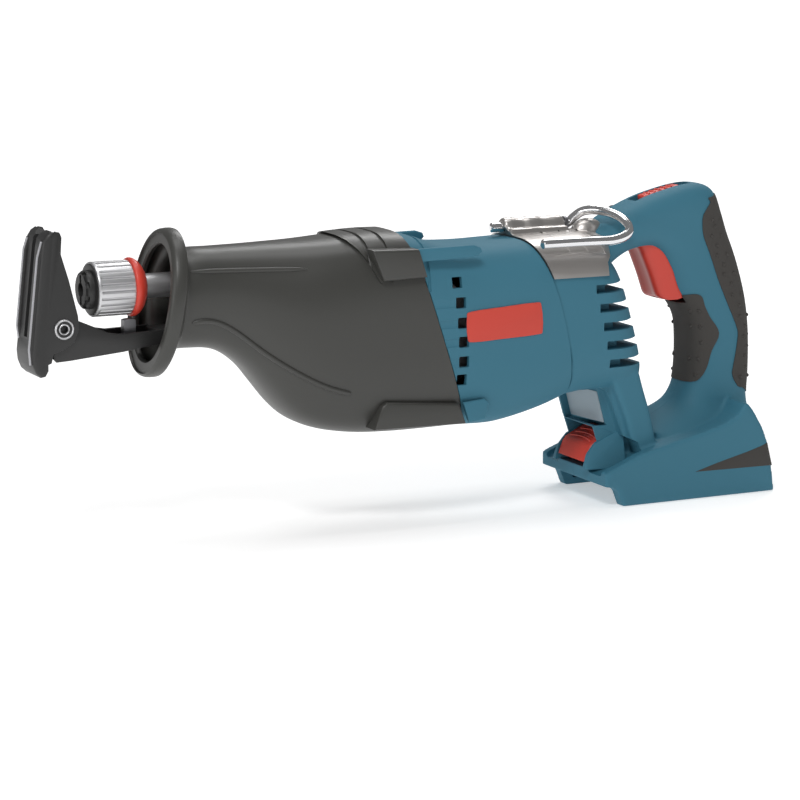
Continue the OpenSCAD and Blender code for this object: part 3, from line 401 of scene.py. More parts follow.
def tube_along(bm, path, radius, segments=20):
    """A round bar along a path, its ends closed. The radius is one number or one for each point."""
    points = [Vector(p) for p in path]
    places = []
    for k, point in enumerate(points):
        ahead = (points[min(k + 1, len(points) - 1)] - points[max(k - 1, 0)]).normalized()
        side = ahead.cross(Vector((0, 0, 1))).normalized()
        up = side.cross(ahead)
        thick = radius[k] if isinstance(radius, list) else radius
        places.append(lambda u, v, c=point, s=side, w=up, r=thick: c + s * u * r + w * v * r)
    loft(bm, places, segments)


def add_object(name, data):
    obj = bpy.data.objects.new(name, data)
    bpy.context.scene.collection.objects.link(obj)
    return obj


def copy_of(obj, name):
    return add_object(name, obj.data.copy())


def to_object(name, bm):
    """The bmesh as an object in metres, its normals pointing outwards."""
    bmesh.ops.remove_doubles(bm, verts=bm.verts, dist=0.0005)
    bmesh.ops.recalc_face_normals(bm, faces=bm.faces)
    bmesh.ops.scale(bm, verts=bm.verts, vec=(MM, MM, MM))
    mesh = bpy.data.meshes.new(name)
    bm.to_mesh(mesh)
    bm.free()
    return add_object(name, mesh)


def helper(name, build):
    """An object made by a function that fills a bmesh."""
    bm = bmesh.new()
    build(bm)
    return to_object(name, bm)


def join(obj, other):
    """Adds another object's mesh to this one's and removes the other."""
    bm = bmesh.new()
    bm.from_mesh(obj.data)
    bm.from_mesh(other.data)
    bm.to_mesh(obj.data)
    bm.free()
    bpy.data.objects.remove(other)


def add_modifier(obj, kind, **values):
    modifier = obj.modifiers.new(kind.title(), kind)
    for key, value in values.items():
        setattr(modifier, key, value)
    return modifier


def bake_modifiers(obj):
    """Applies the modifiers to the object's mesh."""
    depsgraph = bpy.context.evaluated_depsgraph_get()
    mesh = bpy.data.meshes.new_from_object(obj.evaluated_get(depsgraph))
    obj.modifiers.clear()
    obj.data = mesh
    return obj


def cut(obj, cutter, operation="DIFFERENCE"):
    """A boolean with a helper object, which is then removed."""
    add_modifier(obj, "BOOLEAN", object=cutter, operation=operation, solver="EXACT", use_self=True)
    bake_modifiers(obj)
    bpy.data.objects.remove(cutter)


def carve(obj, build, operation="DIFFERENCE"):
    """A boolean with what a function builds."""
    cut(obj, helper("tool", build), operation)


def place(obj, body, slot, *nodes, angle=32.0):
    """Gives a finished piece its finish and its body, and hides the nodes it stands for."""
    obj.data.materials.clear()
    obj.data.materials.append(bpy.data.materials[slot])
    obj.data.polygons.foreach_set("use_smooth", [True] * len(obj.data.polygons))
    obj.data.set_sharp_from_angle(angle=math.radians(angle))
    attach(obj, body)
    if nodes:
        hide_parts(*nodes)
    return obj


def blend_forms(obj, cell, passes=6):
    """Fuses overlapping closed forms into one moulded skin."""
    add_modifier(obj, "REMESH", mode="VOXEL", voxel_size=cell * MM)
    add_modifier(obj, "SMOOTH", factor=0.5, iterations=passes)
    return bake_modifiers(obj)


# ---- Sections of the body ----

# Place on the axis, lean, bow, lowest, highest, half width, squareness
BOOT_ROWS = [
    (50.5, 0.11, 0, -37.0, 20.0, 24.0, 2.2),
    (58, 0.08, 0, -36.6, 20.5, 24.0, 2.3),
    (70, 0.04, 0, -37.6, 20.4, 24.4, 2.35),
    (80, 0.02, 0, -42.0, 20.5, 25.7, 2.4),
    (90, 0, 0, -50.5, 20.6, 27.7, 2.45),
    (100, 0, 0, -62.5, 20.8, 30.2, 2.5),
    (110, 0, 0, -74.5, 21.0, 32.7, 2.6),
    (120, 0, 0, -83.0, 21.2, 35.0, 2.7),
    (132, -0.02, 0, -88.8, 21.6, 36.7, 2.9),
    (146, -0.08, 0, -92.4, 22.3, 37.7, 3.1),
    (160, -0.16, 0, -93.6, 23.0, 38.0, 3.3),
    (175, -0.25, 0, -93.6, 23.4, 38.0, 3.4),
    (190, -0.327, 0, -93.2, 23.2, 38.0, 3.4),
]
MOUTH_ROWS = [
    (36.9, 0.17, 0, -49.6, 29.6, 30.5, 2.15),
    (37.6, 0.17, 0, -50.6, 30.8, 32.2, 2.15),
    (39.4, 0.17, 0, -51.6, 31.8, 33.4, 2.15),
    (44.0, 0.17, 0, -51.8, 32.0, 33.6, 2.15),
    (45.6, 0.17, 0, -50.8, 31.0, 32.4, 2.15),
    (46.8, 0.16, 0, -46.5, 27.5, 28.8, 2.15),
    (48.4, 0.13, 0, -39.5, 22.5, 25.0, 2.2),
]
MOTOR_ROWS = [
    (190.5, -0.327, 0, -93.2, 23.2, 38.0, 3.4),
    (202, -0.33, -0.0004, -93.4, 20.5, 38.0, 3.5),
    (212, -0.34, -0.0008, -93.4, 16.6, 38.2, 3.6),
    (222, -0.36, -0.0012, -92.8, 14.8, 38.2, 3.7),
    (240, -0.38, -0.0018, -90.0, 14.2, 38.2, 3.8),
    (258, -0.41, -0.0023, -85.6, 14.6, 38.2, 3.8),
    (271.7, -0.422, -0.0026, -81.0, 15.0, 38.0, 3.8),
]
TAIL_ROWS = [
    (272.4, -0.422, -0.0026, -80.6, 14.4, 37.6, 3.8),
    (284, -0.36, -0.0018, -79.0, 13.0, 37.6, 3.8),
    (298, -0.28, -0.0008, -78.0, 11.5, 37.5, 3.8),
    (310, -0.27, 0, -77.5, 9.0, 36.8, 3.8),
    (318, -0.28, 0, -77.0, 6.0, 33.0, 3.6),
    (325, -0.28, 0, -76.0, 2.0, 26.0, 3.2),
]


def section(row, shrink=0.0):
    """The ring of a body row, shrunk inwards."""
    x, lean, bow, low, high, half, power = row
    middle, tall = (low + high) / 2, (high - low) / 2 - shrink

    def at(u, v):
        z = middle + tall * squared(v, power)
        return Vector((x + lean * z + bow * z * z, (half - shrink) * squared(u, power), z))
    return at


def row_at(rows, x, z):
    """The row, between the given ones, whose leaning ring passes through (x, z)."""
    fine = smooth_row(rows, 8)
    for near, far in zip(fine, fine[1:]):
        low = near[0] + near[1] * z + near[2] * z * z
        high = far[0] + far[1] * z + far[2] * z * z
        if low <= x <= high:
            t = (x - low) / (high - low)
            return [a + (b - a) * t for a, b in zip(near, far)]
    return fine[0] if x < fine[0][0] else fine[-1]


def skin_y(rows, x, z):
    """Half width of the skin at (x, z)."""
    row = row_at(rows, x, z)
    middle, tall = (row[3] + row[4]) / 2, (row[4] - row[3]) / 2
    t = min(abs((z - middle) / tall), 0.999)
    return row[5] * (1 - t ** row[6]) ** (1 / row[6])


def skin_z(rows, x, y, top=True):
    """Height of the skin above a point (x, y), or below it."""
    z = 20.0 if top else -90.0
    for _ in range(4):
        row = row_at(rows, x, z)
        t = min(abs(y) / row[5], 0.999)
        rise = (row[4] - row[3]) / 2 * (1 - t ** row[6]) ** (1 / row[6])
        z = (row[3] + row[4]) / 2 + (rise if top else -rise)
    return z


# ---- Boot and motor housing ----

def shell_from(name, rows, wall):
    """A tube of body sections with a wall grown inwards."""
    obj = helper(name, lambda b: loft(b, [section(row) for row in rows], 96, (False, False)))
    add_modifier(obj, "SOLIDIFY", thickness=wall * MM, offset=-1, use_even_offset=True)
    return bake_modifiers(obj)


class SAW_OT_boot(bpy.types.Operator):
    """Rubber boot with its mouth flange, side ribs, step edge and finger pads"""
    bl_idname = "saw.boot"
    bl_label = "Boot"

    def ribs(self, bm):
        upper = [(52.5 + 68 * k / 11, 9.2 - 1.6 * k / 11) for k in range(12)]
        lower = curve_through([(52, -19.2), (60, -18.6), (68, -20.4), (76, -24.6), (84, -30.4),
                               (93, -37.6), (104, -45.6), (116, -53.2), (128, -59.4), (138, -63.0),
                               (144, -64.6)])
        for side in (-1, 1):
            for line, thick in ((upper, 1.5), (lower, 1.6)):
                path = [(x, side * (skin_y(BOOT_ROWS, x, z) - 0.1), z) for x, z in line]
                ends = [thick * min(1.0, 0.35 + 0.5 * min(k, len(path) - 1 - k)) for k in range(len(path))]
                tube_along(bm, path, ends, 12)

    def patch(self, bm):
        """The outline of the thicker skin at the top rear."""
        plate(bm, [(140, 40), (144, 26), (148, 22), (152, 17), (157, 9), (161, 0), (163, -2), (200, -2),
                   (200, 40)], -60, 60)

    def grooves(self, bm):
        """Two grooves over the top between the finger bands."""
        for x in (157.0, 168.8):
            tube_along(bm, over_top(BOOT_ROWS, x, 1.3), 1.15, 10)

    def pads(self, bm):
        """Raised finger pads on the shoulders and under the belly."""
        upper = [(155.5, 17.6), (186.0, 16.6), (189.0, 8.0), (191.5, 0.0), (166.5, -0.6), (163.0, -0.6)]
        belly = [(158.0, -87.0), (162.5, -73.6), (166.0, -71.2), (212.5, -75.5), (217, -88.0)]
        both_sides(bm, upper, 30.0, 40.6, 1.6)
        both_sides(bm, belly, 22.0, 38.6, 1.6)

    def execute(self, context):
        rows = smooth_row(MOUTH_ROWS, 2)[:-1] + smooth_row([MOUTH_ROWS[-1]] + BOOT_ROWS, 4)[1:]
        boot = shell_from("boot_skin", rows, sizes().boot_wall)
        thick = helper("boot_patch", lambda b: loft(
            b, [section(row, -1.4) for row in smooth_row(BOOT_ROWS[6:], 4)], 96))
        carve(thick, self.patch, "INTERSECT")
        carve(thick, self.grooves)
        carve(thick, self.pads, "UNION")
        trim = helper("boot_inside", lambda b: loft(
            b, [section(row, 2.0) for row in smooth_row(BOOT_ROWS + [(205, *BOOT_ROWS[-1][1:])], 3)], 64))
        cut(thick, trim)
        carve(thick, lambda b: seam_side(b, 1))
        cut(boot, thick, "UNION")
        carve(boot, self.ribs, "UNION")
        lip = bmesh.new()
        loops = [ring(lip, section((x, 0.17, 0, -51.6, 31.8, 33.4, 2.15), inset), 96)
                 for x, inset in ((38.6, 1.4), (38.2, 2.2), (38.2, 8.0), (39.2, 8.8), (41.4, 8.8),
                                  (41.4, 1.4))]
        bridge(lip, loops + loops[:1])
        cut(boot, to_object("mouth_lip", lip), "UNION")
        place(boot, "body", "boot_rubber", "boot", angle=38)
        return {"FINISHED"}


def seam_x(z):
    """The leaning seam between boot and motor housing."""
    return 190.3 - 0.327 * z


def seam_side(bm, side):
    """A block on one side of that seam."""
    edge = [(seam_x(z), z) for z in (60, -130)]
    far = 400 if side > 0 else -200
    plate(bm, [edge[0], (far, 60), (far, -130), edge[1]], -80, 80)


def over_top(rows, x, rise, turns=24):
    """A path across the top from shoulder to shoulder."""
    path = []
    for k in range(turns + 1):
        a = math.radians(14 + 152 * k / turns)
        y = 38.0 * squared(math.cos(a), 3.0)
        z = skin_z(rows, x, y)
        path.append((x, y * (1 + rise / 38.0), z + rise * math.sin(a)))
    return path


def curve_through(points, steps=3):
    """A finer open curve through the points."""
    return [tuple(p) for p in smooth_row(points, steps)]


class SAW_OT_motor_housing(bpy.types.Operator):
    """Blue motor housing with its air vents and finger bands; its blank side badge comes with the trim"""
    bl_idname = "saw.motor_housing"
    bl_label = "Motor housing"

    VENTS = [(208.2, -8.0), (210.2, -19.8), (211.5, -31.7), (212.2, -42.9), (212.3, -54.6), (211.0, -65.2)]

    VENT_SIDE = 6.5

    def vents(self, bm):
        for x, z in self.VENTS:
            block(bm, (x, -60, z), (x + self.VENT_SIDE, 60, z + self.VENT_SIDE), 0.5)

    def finger_pads(self, bm):
        upper = [(184, 16.6), (221, 17.0), (225.5, 15.5), (226.5, 13.0), (224, 10.6), (219, 9.8), (186, 9.0)]
        belly = [(211.5, -75.5), (229, -74.0), (232, -76.5), (229.5, -86.0), (214.5, -88.0)]
        both_sides(bm, upper, 36.0, 39.4, 1.0)
        both_sides(bm, belly, 36.0, 38.6, 1.0)

    def channels(self, bm):
        """A shallow channel from each vent forward to the seam."""
        for x, z in self.VENTS:
            front = seam_x(z) - 1.8
            for y in (-39.0, 37.6):
                block(bm, (front, y, z + 0.6), (x + 2, y + 1.4, z + 5.6), 0.5)

    def execute(self, context):
        housing = shell_from("motor_housing_shell", smooth_row(MOTOR_ROWS, 5), sizes().shell_wall)
        carve(housing, self.finger_pads, "UNION")
        carve(housing, lambda b: seam_side(b, -1))
        carve(housing, lambda b: tube_along(b, over_top(MOTOR_ROWS, 193.5, 0), 1.1, 10))
        carve(housing, self.vents)
        carve(housing, self.channels)
        place(housing, "body", "blue_plastic", "motor_housing", angle=30)
        return {"FINISHED"}


# ---- Rear housing ----

# Outer line, inner line and half width of the D-handle, from the tail round to the foot
HANDLE_ROWS = [
    (302, 4.0, 322, -30, 9),
    (312, 12.0, 321, -15, 14),
    (324, 20.5, 331, -3.5, 16),
    (338, 28.0, 342, 2.6, 17),
    (354, 34.8, 355, 4.2, 17.4),
    (369, 39.0, 361.5, 1.0, 17.5),
    (382, 41.6, 365, -3.5, 17.5),
    (393, 41.8, 367.5, -9.0, 17.4),
    (402, 38.0, 369.5, -14, 17.2),
    (407.0, 26.5, 371, -19, 17.0),
    (412, 12.0, 373, -24, 17.0),
    (417, 0.0, 376.0, -28.5, 17.0),
    (421.5, -13.0, 381.6, -36, 17.0),
    (425.8, -29.0, 385, -44, 17.2),
    (428.4, -46.0, 386, -55, 17.4),
    (429.2, -62.0, 386, -66, 17.4),
    (429.2, -77.0, 385, -78, 17.4),
    (428.6, -88.0, 382, -87, 17.6),
    (429.0, -96.0, 376, -94.5, 19.5),
    (430, -106.0, 364, -101, 25.0),
    (430, -118.0, 350, -108, 32.0),
]
STRUT_FRONT = [(304.5, -70), (330, -66), (338, -84), (345, -116), (322, -126), (313.5, -101)]
STRUT_REAR = [(319, -70), (337.5, -64), (342, -79), (346.5, -92.5), (350, -106), (354, -122),
              (338, -124), (329, -94)]
FOOT = [
    (310.5, -126), (322, -121.5), (334, -116.6), (341, -114.8), (356, -111.2), (377, -107), (396, -102),
    (404, -97.5), (408.5, -91), (410.5, -91), (415, -96.5), (421.4, -107), (425.2, -116.5),
    (425.8, -118.0), (428.6, -132.0), (430.6, -147.5), (323, -147.5), (319.0, -137.4), (316.5, -135.8),
    (310.5, -134.6),
]
REAR_PAD = [
    (399, 34), (395.8, 30.4), (390.2, 23.7), (389.3, 18), (390.4, 10), (395.4, -1.6), (401.2, -16.7),
    (408.6, -33), (413.8, -44), (416.3, -51), (415.4, -60), (412.9, -73), (412.6, -77), (415.4, -82.4),
    (421.4, -86), (450, -89), (450, 34),
]
FRONT_PAD = [
    (358, -26.8), (372, -26.8), (384.6, -25.3), (390, -27), (392.4, -33), (396, -40), (402.3, -50.2),
    (397.5, -61), (394.6, -71), (391, -77.4), (386, -80.4), (372, -80.8), (350, -80.8),
]
TRIGGER_ROOM = [
    (335, 0), (344, 14.5), (352, 17.2), (358, 26), (372, 27), (381, 20), (390.5, 6), (396.2, -10),
    (397.6, -28.5), (388, -31.2), (340, -31.6),
]
SIDE_RECESS = [(300, -76.5), (314, -76.0), (319.5, -79), (323, -87), (329, -103), (333, -113), (300, -113)]
WELL_SIDE = [(300, -96), (312, -98), (326, -104.5), (338, -111), (340, -119), (330, -123), (312, -129),
             (300, -129)]
LABEL_TURN = math.radians(7.0)
LABEL_PIVOT = (315, 0, 0)
SCREWS = [(392, 33, 15), (300, -74, 33), (344, 25, 15), (415, -108, 33)]
FIN_COUNT = 5
FIN_PITCH = 11.4


class SAW_OT_rear_housing(bpy.types.Operator):
    """Two halves of the rear housing: finned tail, strut, D-handle and battery foot"""
    bl_idname = "saw.rear_housing"
    bl_label = "Rear housing"

    def handle(self, bm):
        rows = smooth_row(HANDLE_ROWS, 3)
        places = []
        for x0, z0, x1, z1, half in rows:
            outer, inner = Vector((x0, 0, z0)), Vector((x1, 0, z1))
            places.append(lambda u, v, m=(outer + inner) / 2, h=(outer - inner) / 2, w=half:
                          m + h * squared(v, 3.1) + Vector((0, w * squared(u, 3.1), 0)))
        loft(bm, places, 48)

    def forms(self, bm):
        loft(bm, [section(row) for row in smooth_row(TAIL_ROWS, 3)], 64)
        plate(bm, STRUT_FRONT, -24, 24, 2.0)
        plate(bm, STRUT_REAR, -31, 31, 2.5)
        plate(bm, FOOT, -40, 40, 0.8)

    def fin_cuts(self, bm):
        for k in range(FIN_COUNT):
            z = -17.2 - FIN_PITCH * k
            side, inner = 304.0 + 2.6 * k, 315.5 + 2.8 * k
            slab(bm, [(side, -60), (362, -60), (362, 60), (side, 60), (side, 27.5), (inner, 27.5),
                      (inner, -27.5), (side, -27.5)], z, z + 5.2, 0.5)

    def rooms(self, bm):
        half = 12.4
        plate(bm, TRIGGER_ROOM, -half, half, 1.0)
        plate(bm, [(349.5, 28.3), (388.5, 37.4), (387, 48), (347.5, 42)], -5.0, 5.0, 0.8)
        # Battery bay, open below and in front under the lip
        block(bm, (328, -36, -143.5), (425, 36, -130.5), 1.0)
        block(bm, (300, -32, -160), (425, 32, -136.6), 0.6)
        # Recesses of the strut: the data plate's in front and the arched ones at its sides
        made = plate(bm, [(290, -78), (313.6, -78), (320.4, -101), (290, -101)], -60, 17)
        turn(bm, made, LABEL_TURN, "Z", LABEL_PIVOT)
        both_sides(bm, SIDE_RECESS, 18.5, 60, 1.5)
        for x, z, y in SCREWS:
            rod_y(bm, x, z, y - 3, 60, 3.9)

    def well(self, bm):
        """The hollow round the release button's mound, at both sides of the strut."""
        both_sides(bm, WELL_SIDE, 18.0, 34.0, 2.0)

    def mound(self, bm):
        """The faceted mound that carries the release button."""
        half, top = 26.0, 19.0
        verts = [bm.verts.new((x, y, z)) for x, y, z in (
            (307, -half + 5, -127), (332, -half - 2, -127), (332, half + 2, -127), (307, half - 5, -127),
            (309.5, -top, -118), (315.0, -top, -111.4), (334, -top, -103.4), (334, top, -103.4),
            (315.0, top, -111.4), (309.5, top, -118))]
        a, b, c, d, e, f, g, h, i, j = verts
        for corners in ((a, b, c, d), (a, d, j, e), (e, j, i, f), (f, i, h, g), (g, h, c, b),
                        (a, e, f), (a, f, g, b), (d, i, j), (d, c, h, i)):
            bm.faces.new(corners)
        bmesh.ops.recalc_face_normals(bm, faces=bm.faces[:])
        round_edges(bm, bm.edges[:], 0.9, 2)

    def execute(self, context):
        cell = sizes().voxel * 1.0
        whole = helper("rear_whole", self.forms)
        join(whole, helper("handle_whole", self.handle))
        blend_forms(whole, cell, 7)
        carve(whole, self.fin_cuts)
        carve(whole, self.rooms)
        carve(whole, self.well)
        carve(whole, self.mound, "UNION")
        carve(whole, lambda b: plate(
            b, [(302, -127), (302, -104), (330, -98), (332.6, -104), (332.6, -127)], -16.8, 16.8))
        for side, name in ((-1, "left"), (1, "right")):
            half = copy_of(whole, "rear_shell_" + name)
            bm = bmesh.new()
            bm.from_mesh(half.data)
            out = bmesh.ops.bisect_plane(bm, geom=bm.verts[:] + bm.edges[:] + bm.faces[:], dist=1e-7,
                                         plane_co=(0, side * 0.00006, 0), plane_no=(0, side, 0),
                                         clear_inner=True)
            rim = [g for g in out["geom_cut"] if isinstance(g, bmesh.types.BMEdge)]
            bmesh.ops.triangle_fill(bm, edges=rim, use_beauty=True, normal=(0, -side, 0))
            bm.to_mesh(half.data)
            bm.free()
            place(half, "body", "blue_plastic", "rear_housing_" + name, angle=30)
        # Soft grips lie on the same skin
        for name, outline in (("rear_grip", REAR_PAD), ("front_grip", FRONT_PAD)):
            self.grip(whole, name, outline)
        bpy.data.objects.remove(whole)
        return {"FINISHED"}

    def grip(self, whole, name, outline):
        """A soft pad: the shell's skin, raised a little, within an outline, with dots."""
        pad = copy_of(whole, name + "_pad")
        bm = bmesh.new()
        bm.from_mesh(pad.data)
        bm.normal_update()
        proud = sizes().grip_proud * MM
        for v in bm.verts:
            v.co += v.normal * proud
        bm.to_mesh(pad.data)
        bm.free()
        carve(pad, lambda b: plate(b, closed_curve(outline), -30, 30), "INTERSECT")
        tree = BVHTree.FromObject(pad, bpy.context.evaluated_depsgraph_get())
        dots = bmesh.new()
        for x, z in self.dot_places(name):
            for side in (-1, 1):
                hit, _, _, _ = tree.ray_cast(Vector((x * MM, side * 0.2, z * MM)), Vector((0, -side, 0)))
                if hit:
                    made = bmesh.ops.create_icosphere(dots, subdivisions=2, radius=sizes().dot_radius)
                    bmesh.ops.scale(dots, verts=made["verts"], vec=(1, 0.75, 1))
                    bmesh.ops.translate(dots, verts=made["verts"], vec=hit / MM)
        join(pad, to_object(name + "_dots", dots))
        place(pad, "body", "grip_rubber", name, angle=40)

    def dot_places(self, name):
        if name == "rear_grip":
            spine = smooth_row([[399, 20], [398.5, 10], [402.5, -2], [408, -14], [414, -27], [420, -41],
                                [423.5, -54], [424.5, -66], [421, -79]], 2)
            return [(x + dx, z) for k, (x, z) in enumerate(spine) for dx in ((0,) if k % 2 else (-2.4, 5.4))]
        return [(x, z) for z in (-36, -46, -56, -66, -76)
                for x in (384.5 + (z % 4), 391.5 - abs(z + 54) * 0.14)]


# ---- Cover and hook ----

COVER_ROWS = [
    (255, -0.422, -0.0026, -60, 15.6, 38.3, 3.8),
    (271, -0.422, -0.0026, -60, 16.2, 38.3, 3.6),
    (285, -0.36, -0.0018, -60, 16.6, 38.3, 3.2),
    (300, -0.28, -0.0008, -60, 17.0, 38.2, 3.1),
    (312, -0.22, 0, -60, 17.0, 38.0, 2.9),
    (320, -0.18, 0, -60, 16.4, 35.5, 2.6),
    (332, -0.18, 0, -60, 14.0, 24.0, 2.3),
]
COVER_SIDE = [
    (256, 40), (260.6, 24), (265.6, 15), (270.3, 5), (275.2, -6.5), (312.6, -6.7), (312.9, 1.1),
    (316.4, 4.6), (318.2, 8.6), (326, 15.5), (330.5, 21.5), (329, 40),
]
HOOK_AXIS = (5, 20.3)
ROD_SIDE = -38.6
HOOK_PATH = [
    (306, 5, 20.3), (308.6, 4.8, 21.2), (311.2, 3.4, 24.2), (315.2, 0, 27.7), (320.5, -7, 29.0),
    (324.8, -15, 28.0), (327.9, -23, 25.6), (328.8, -30.5, 22.0), (326.4, -35.8, 18.8),
    (321, -38.2, 16.1), (313.5, -38.6, 14.6), (305, -38.6, 14.6),
]


class SAW_OT_top_cover(bpy.types.Operator):
    """Cast metal cover over the tail, with the hook's tube and three shallow grooves"""
    bl_idname = "saw.top_cover"
    bl_label = "Top cover"

    def forms(self, bm):
        loft(bm, [section(row) for row in smooth_row(COVER_ROWS, 3)], 64)
        lumps = [(262, 4.6), (263, 5.8), (267, 6.3), (271, 5.6), (275, 5.2), (279, 6.2), (284, 6.2),
                 (288, 5.4), (292, 5.6), (297, 6.0), (301, 5.7), (303.4, 5.0)]
        turned(bm, [(262, 0.01)] + lumps + [(303.4, 0.01)], (5, 20.0), 32)
        plate(bm, [(263, 10), (264, 20), (303, 20), (304.5, 10)], -4, 12, 1.0)
        dome = bmesh.ops.create_uvsphere(bm, u_segments=32, v_segments=16, radius=1.0)
        bmesh.ops.scale(bm, verts=dome["verts"], vec=(11, 7.2, 8.2))
        bmesh.ops.translate(bm, verts=dome["verts"], vec=(317.5, -1.5, 15.6))

    def grooves(self, bm):
        """Three shallow curved grooves from the tube down to the near and far edges."""
        for x in (284.0, 296.0, 308.0):
            for side in (-1, 1):
                path = []
                for k in range(15):
                    y = side * (2 + 30.0 * k / 14)
                    shift = 5.0 * (k / 14) ** 2
                    path.append((x + shift, y, skin_z(COVER_ROWS, x + shift, y) + 0.35))
                tube_along(bm, path, 0.55, 8)

    def execute(self, context):
        cover = helper("cover_casting", self.forms)
        blend_forms(cover, 0.85 * (1.0), 5)
        carve(cover, lambda b: plate(b, COVER_SIDE, -60, 60), "INTERSECT")
        carve(cover, lambda b: loft(
            b, [section(row, 0.2) for row in smooth_row(
                [(240, -0.422, -0.0026, -80.6, 14.4, 37.6, 3.8)] + TAIL_ROWS[:5], 3)], 64))
        carve(cover, lambda b: rod_x(b, 250, 306, sizes().hook_radius + 0.2, *HOOK_AXIS))
        carve(cover, self.grooves)
        place(cover, "body", "cast_metal", "top_cover", angle=30)
        return {"FINISHED"}


class SAW_OT_hook(bpy.types.Operator):
    """Polished rafter hook, bent from one rod"""
    bl_idname = "saw.hook"
    bl_label = "Rafter hook"

    def execute(self, context):
        radius = sizes().hook_radius
        bend = smooth_row(HOOK_PATH, 6)
        start = [(x, *HOOK_AXIS) for x in (255.0, 255.5, 257, 280, 300)]
        end = [(x, ROD_SIDE, 14.8) for x in (290, 268, 266.6, 266)]
        path = start + bend + end
        radii = [radius] * len(path)
        radii[0] = radii[-1] = radius * 0.72
        hook = helper("hook_rod", lambda b: tube_along(b, path, radii, 28))
        place(hook, "hook", "polished_rod", "rafter_hook", angle=50)
        return {"FINISHED"}


# ---- Shoe and clamp ----

PIVOT = (-21.0, -19.0)
SHOE_PLATE = [(-32.6, 26), (-31.6, 31), (-29.6, 34), (-27, 35.6), (-24.6, 34.6), (-23.4, 31),
              (-28.6, -22), (-29.6, -36), (-29.6, -42), (-31.5, -45.2), (-34.2, -45.6), (-37, -43),
              (-38.8, -38.5), (-39.3, -33)]
SHOE_CHEEK = [(-27, 33), (-25, 35.4), (-22.4, 34.8), (-21.2, 32), (-21.8, 22.6), (-17.4, 8),
              (-12.4, -12.3), (-12, -20.2), (-15, -26.8), (-21, -30.6), (-27, -32.6), (-28.2, -37.6),
              (-34, -40)]


class SAW_OT_shoe(bpy.types.Operator):
    """Steel shoe with two rails down its face, its pivot screw and the bracket"""
    bl_idname = "saw.shoe"
    bl_label = "Shoe"

    def face(self, bm):
        plate(bm, SHOE_PLATE, -15, 15, 2.6, 4)
        both_sides(bm, SHOE_CHEEK, 12.5, 15, 0.7, 2)

    def notch(self, bm):
        """The blade slot and the notch between the prong tips."""
        block(bm, (-60, -2.6, -24), (0, 2.6, 60))
        made = block(bm, (-60, -5, -5), (0, 5, 5))
        turn(bm, made, math.pi / 4, "X")
        bmesh.ops.translate(bm, verts=made, vec=(0, 0, 37))

    def sockets(self, bm):
        for side in (-1, 1):
            rod_y(bm, *PIVOT, *sorted((side * 13.2, side * 18.0)), 2.3, 6)

    def rails(self, bm, radius=1.9, proud=0.0, aside=0.0):
        for y, low in ((-11.6, -38.0), (11.6, -26.0)):
            path = []
            for k in range(17):
                z = 30.0 + (low - 30.0) * k / 16
                lean = -32.2 - 0.112 * (31 - z)
                sink = 1.6 * max(0.0, 1 - min(k, 16 - k) / 2.0)
                path.append((lean + sink - proud, y + aside, z))
            tube_along(bm, path, radius, 18)

    def execute(self, context):
        shoe = helper("shoe_steel", self.face)
        carve(shoe, self.notch)
        carve(shoe, self.rails, "UNION")
        carve(shoe, lambda b: rod_y(b, *PIVOT, -30, 30, 3.0))
        carve(shoe, lambda b: rod_y(b, *PIVOT, -15.4, 15.4, 4.6), "UNION")
        carve(shoe, self.sockets)
        place(shoe, "shoe", "black_steel", "shoe", angle=35)
        # Painted highlight: a thin strip of lighter steel along the crest of each rail, set forward and
        # shifted towards the camera, stands in for the highlight line on the rails.
        highlight_strip = bmesh.new()
        self.rails(highlight_strip, 0.75, 1.45, -0.7)
        place(to_object("rail_painted_highlights", highlight_strip), "shoe", "gear_steel", "shoe", angle=40)
        screw = bmesh.new()
        for side in (-1, 1):
            self.head(screw, side)
        place(to_object("pivot_screw", screw), "shoe", "bright_steel", "shoe_pivot_screw", angle=30)
        bracket = helper("bracket_channel", self.bracket)
        place(bracket, "shoe_carrier", "black_steel", "shoe_bracket", angle=35)
        return {"FINISHED"}

    def head(self, bm, side):
        """A socket screw head: raised rim, dished face and a hexagon socket."""
        y = side * 15.0
        for profile in (((4.5, 0.0), (5.6, 0.0), (5.6, 1.0), (5.2, 1.5), (4.8, 1.5), (4.5, 1.1)),
                        ((2.4, 0.0), (3.1, 0.0), (3.1, 0.8), (2.8, 1.0), (2.4, 0.8))):
            points = [(PIVOT[0] + r, y + side * h, PIVOT[1]) for r, h in profile]
            spun(bm, points, (PIVOT[0], 0, PIVOT[1]), (0, 1, 0), 48)
        bmesh.ops.remove_doubles(bm, verts=bm.verts[:], dist=0.0005)
        rod_y(bm, *PIVOT, *sorted((side * 12.6, side * 9.8)), 2.9)

    def bracket(self, bm):
        outline = [(-21, -12), (-15.5, -12.6), (-11, -15.6), (-4.9, -18.3), (1.6, -21.2), (6.6, -23.4),
                   (12.3, -24.4), (20.7, -24.2), (38, -23.8), (38, -31.5), (14.7, -34.7),
                   (-16.8, -37.5), (-24.5, -37.9), (-26.2, -36), (-27, -23.5), (-28, -19), (-26, -14)]
        floor = [(0, -30.6), (38, -27.2), (38, -29.6), (15, -33.4), (0, -34.8)]
        both_sides(bm, outline, 9.7, 12.2, 0.6, 2)
        plate(bm, floor, -10, 10, 0.3, 1)
        block(bm, (36, -8, -29), (100, 8, -23.8), 0.6)


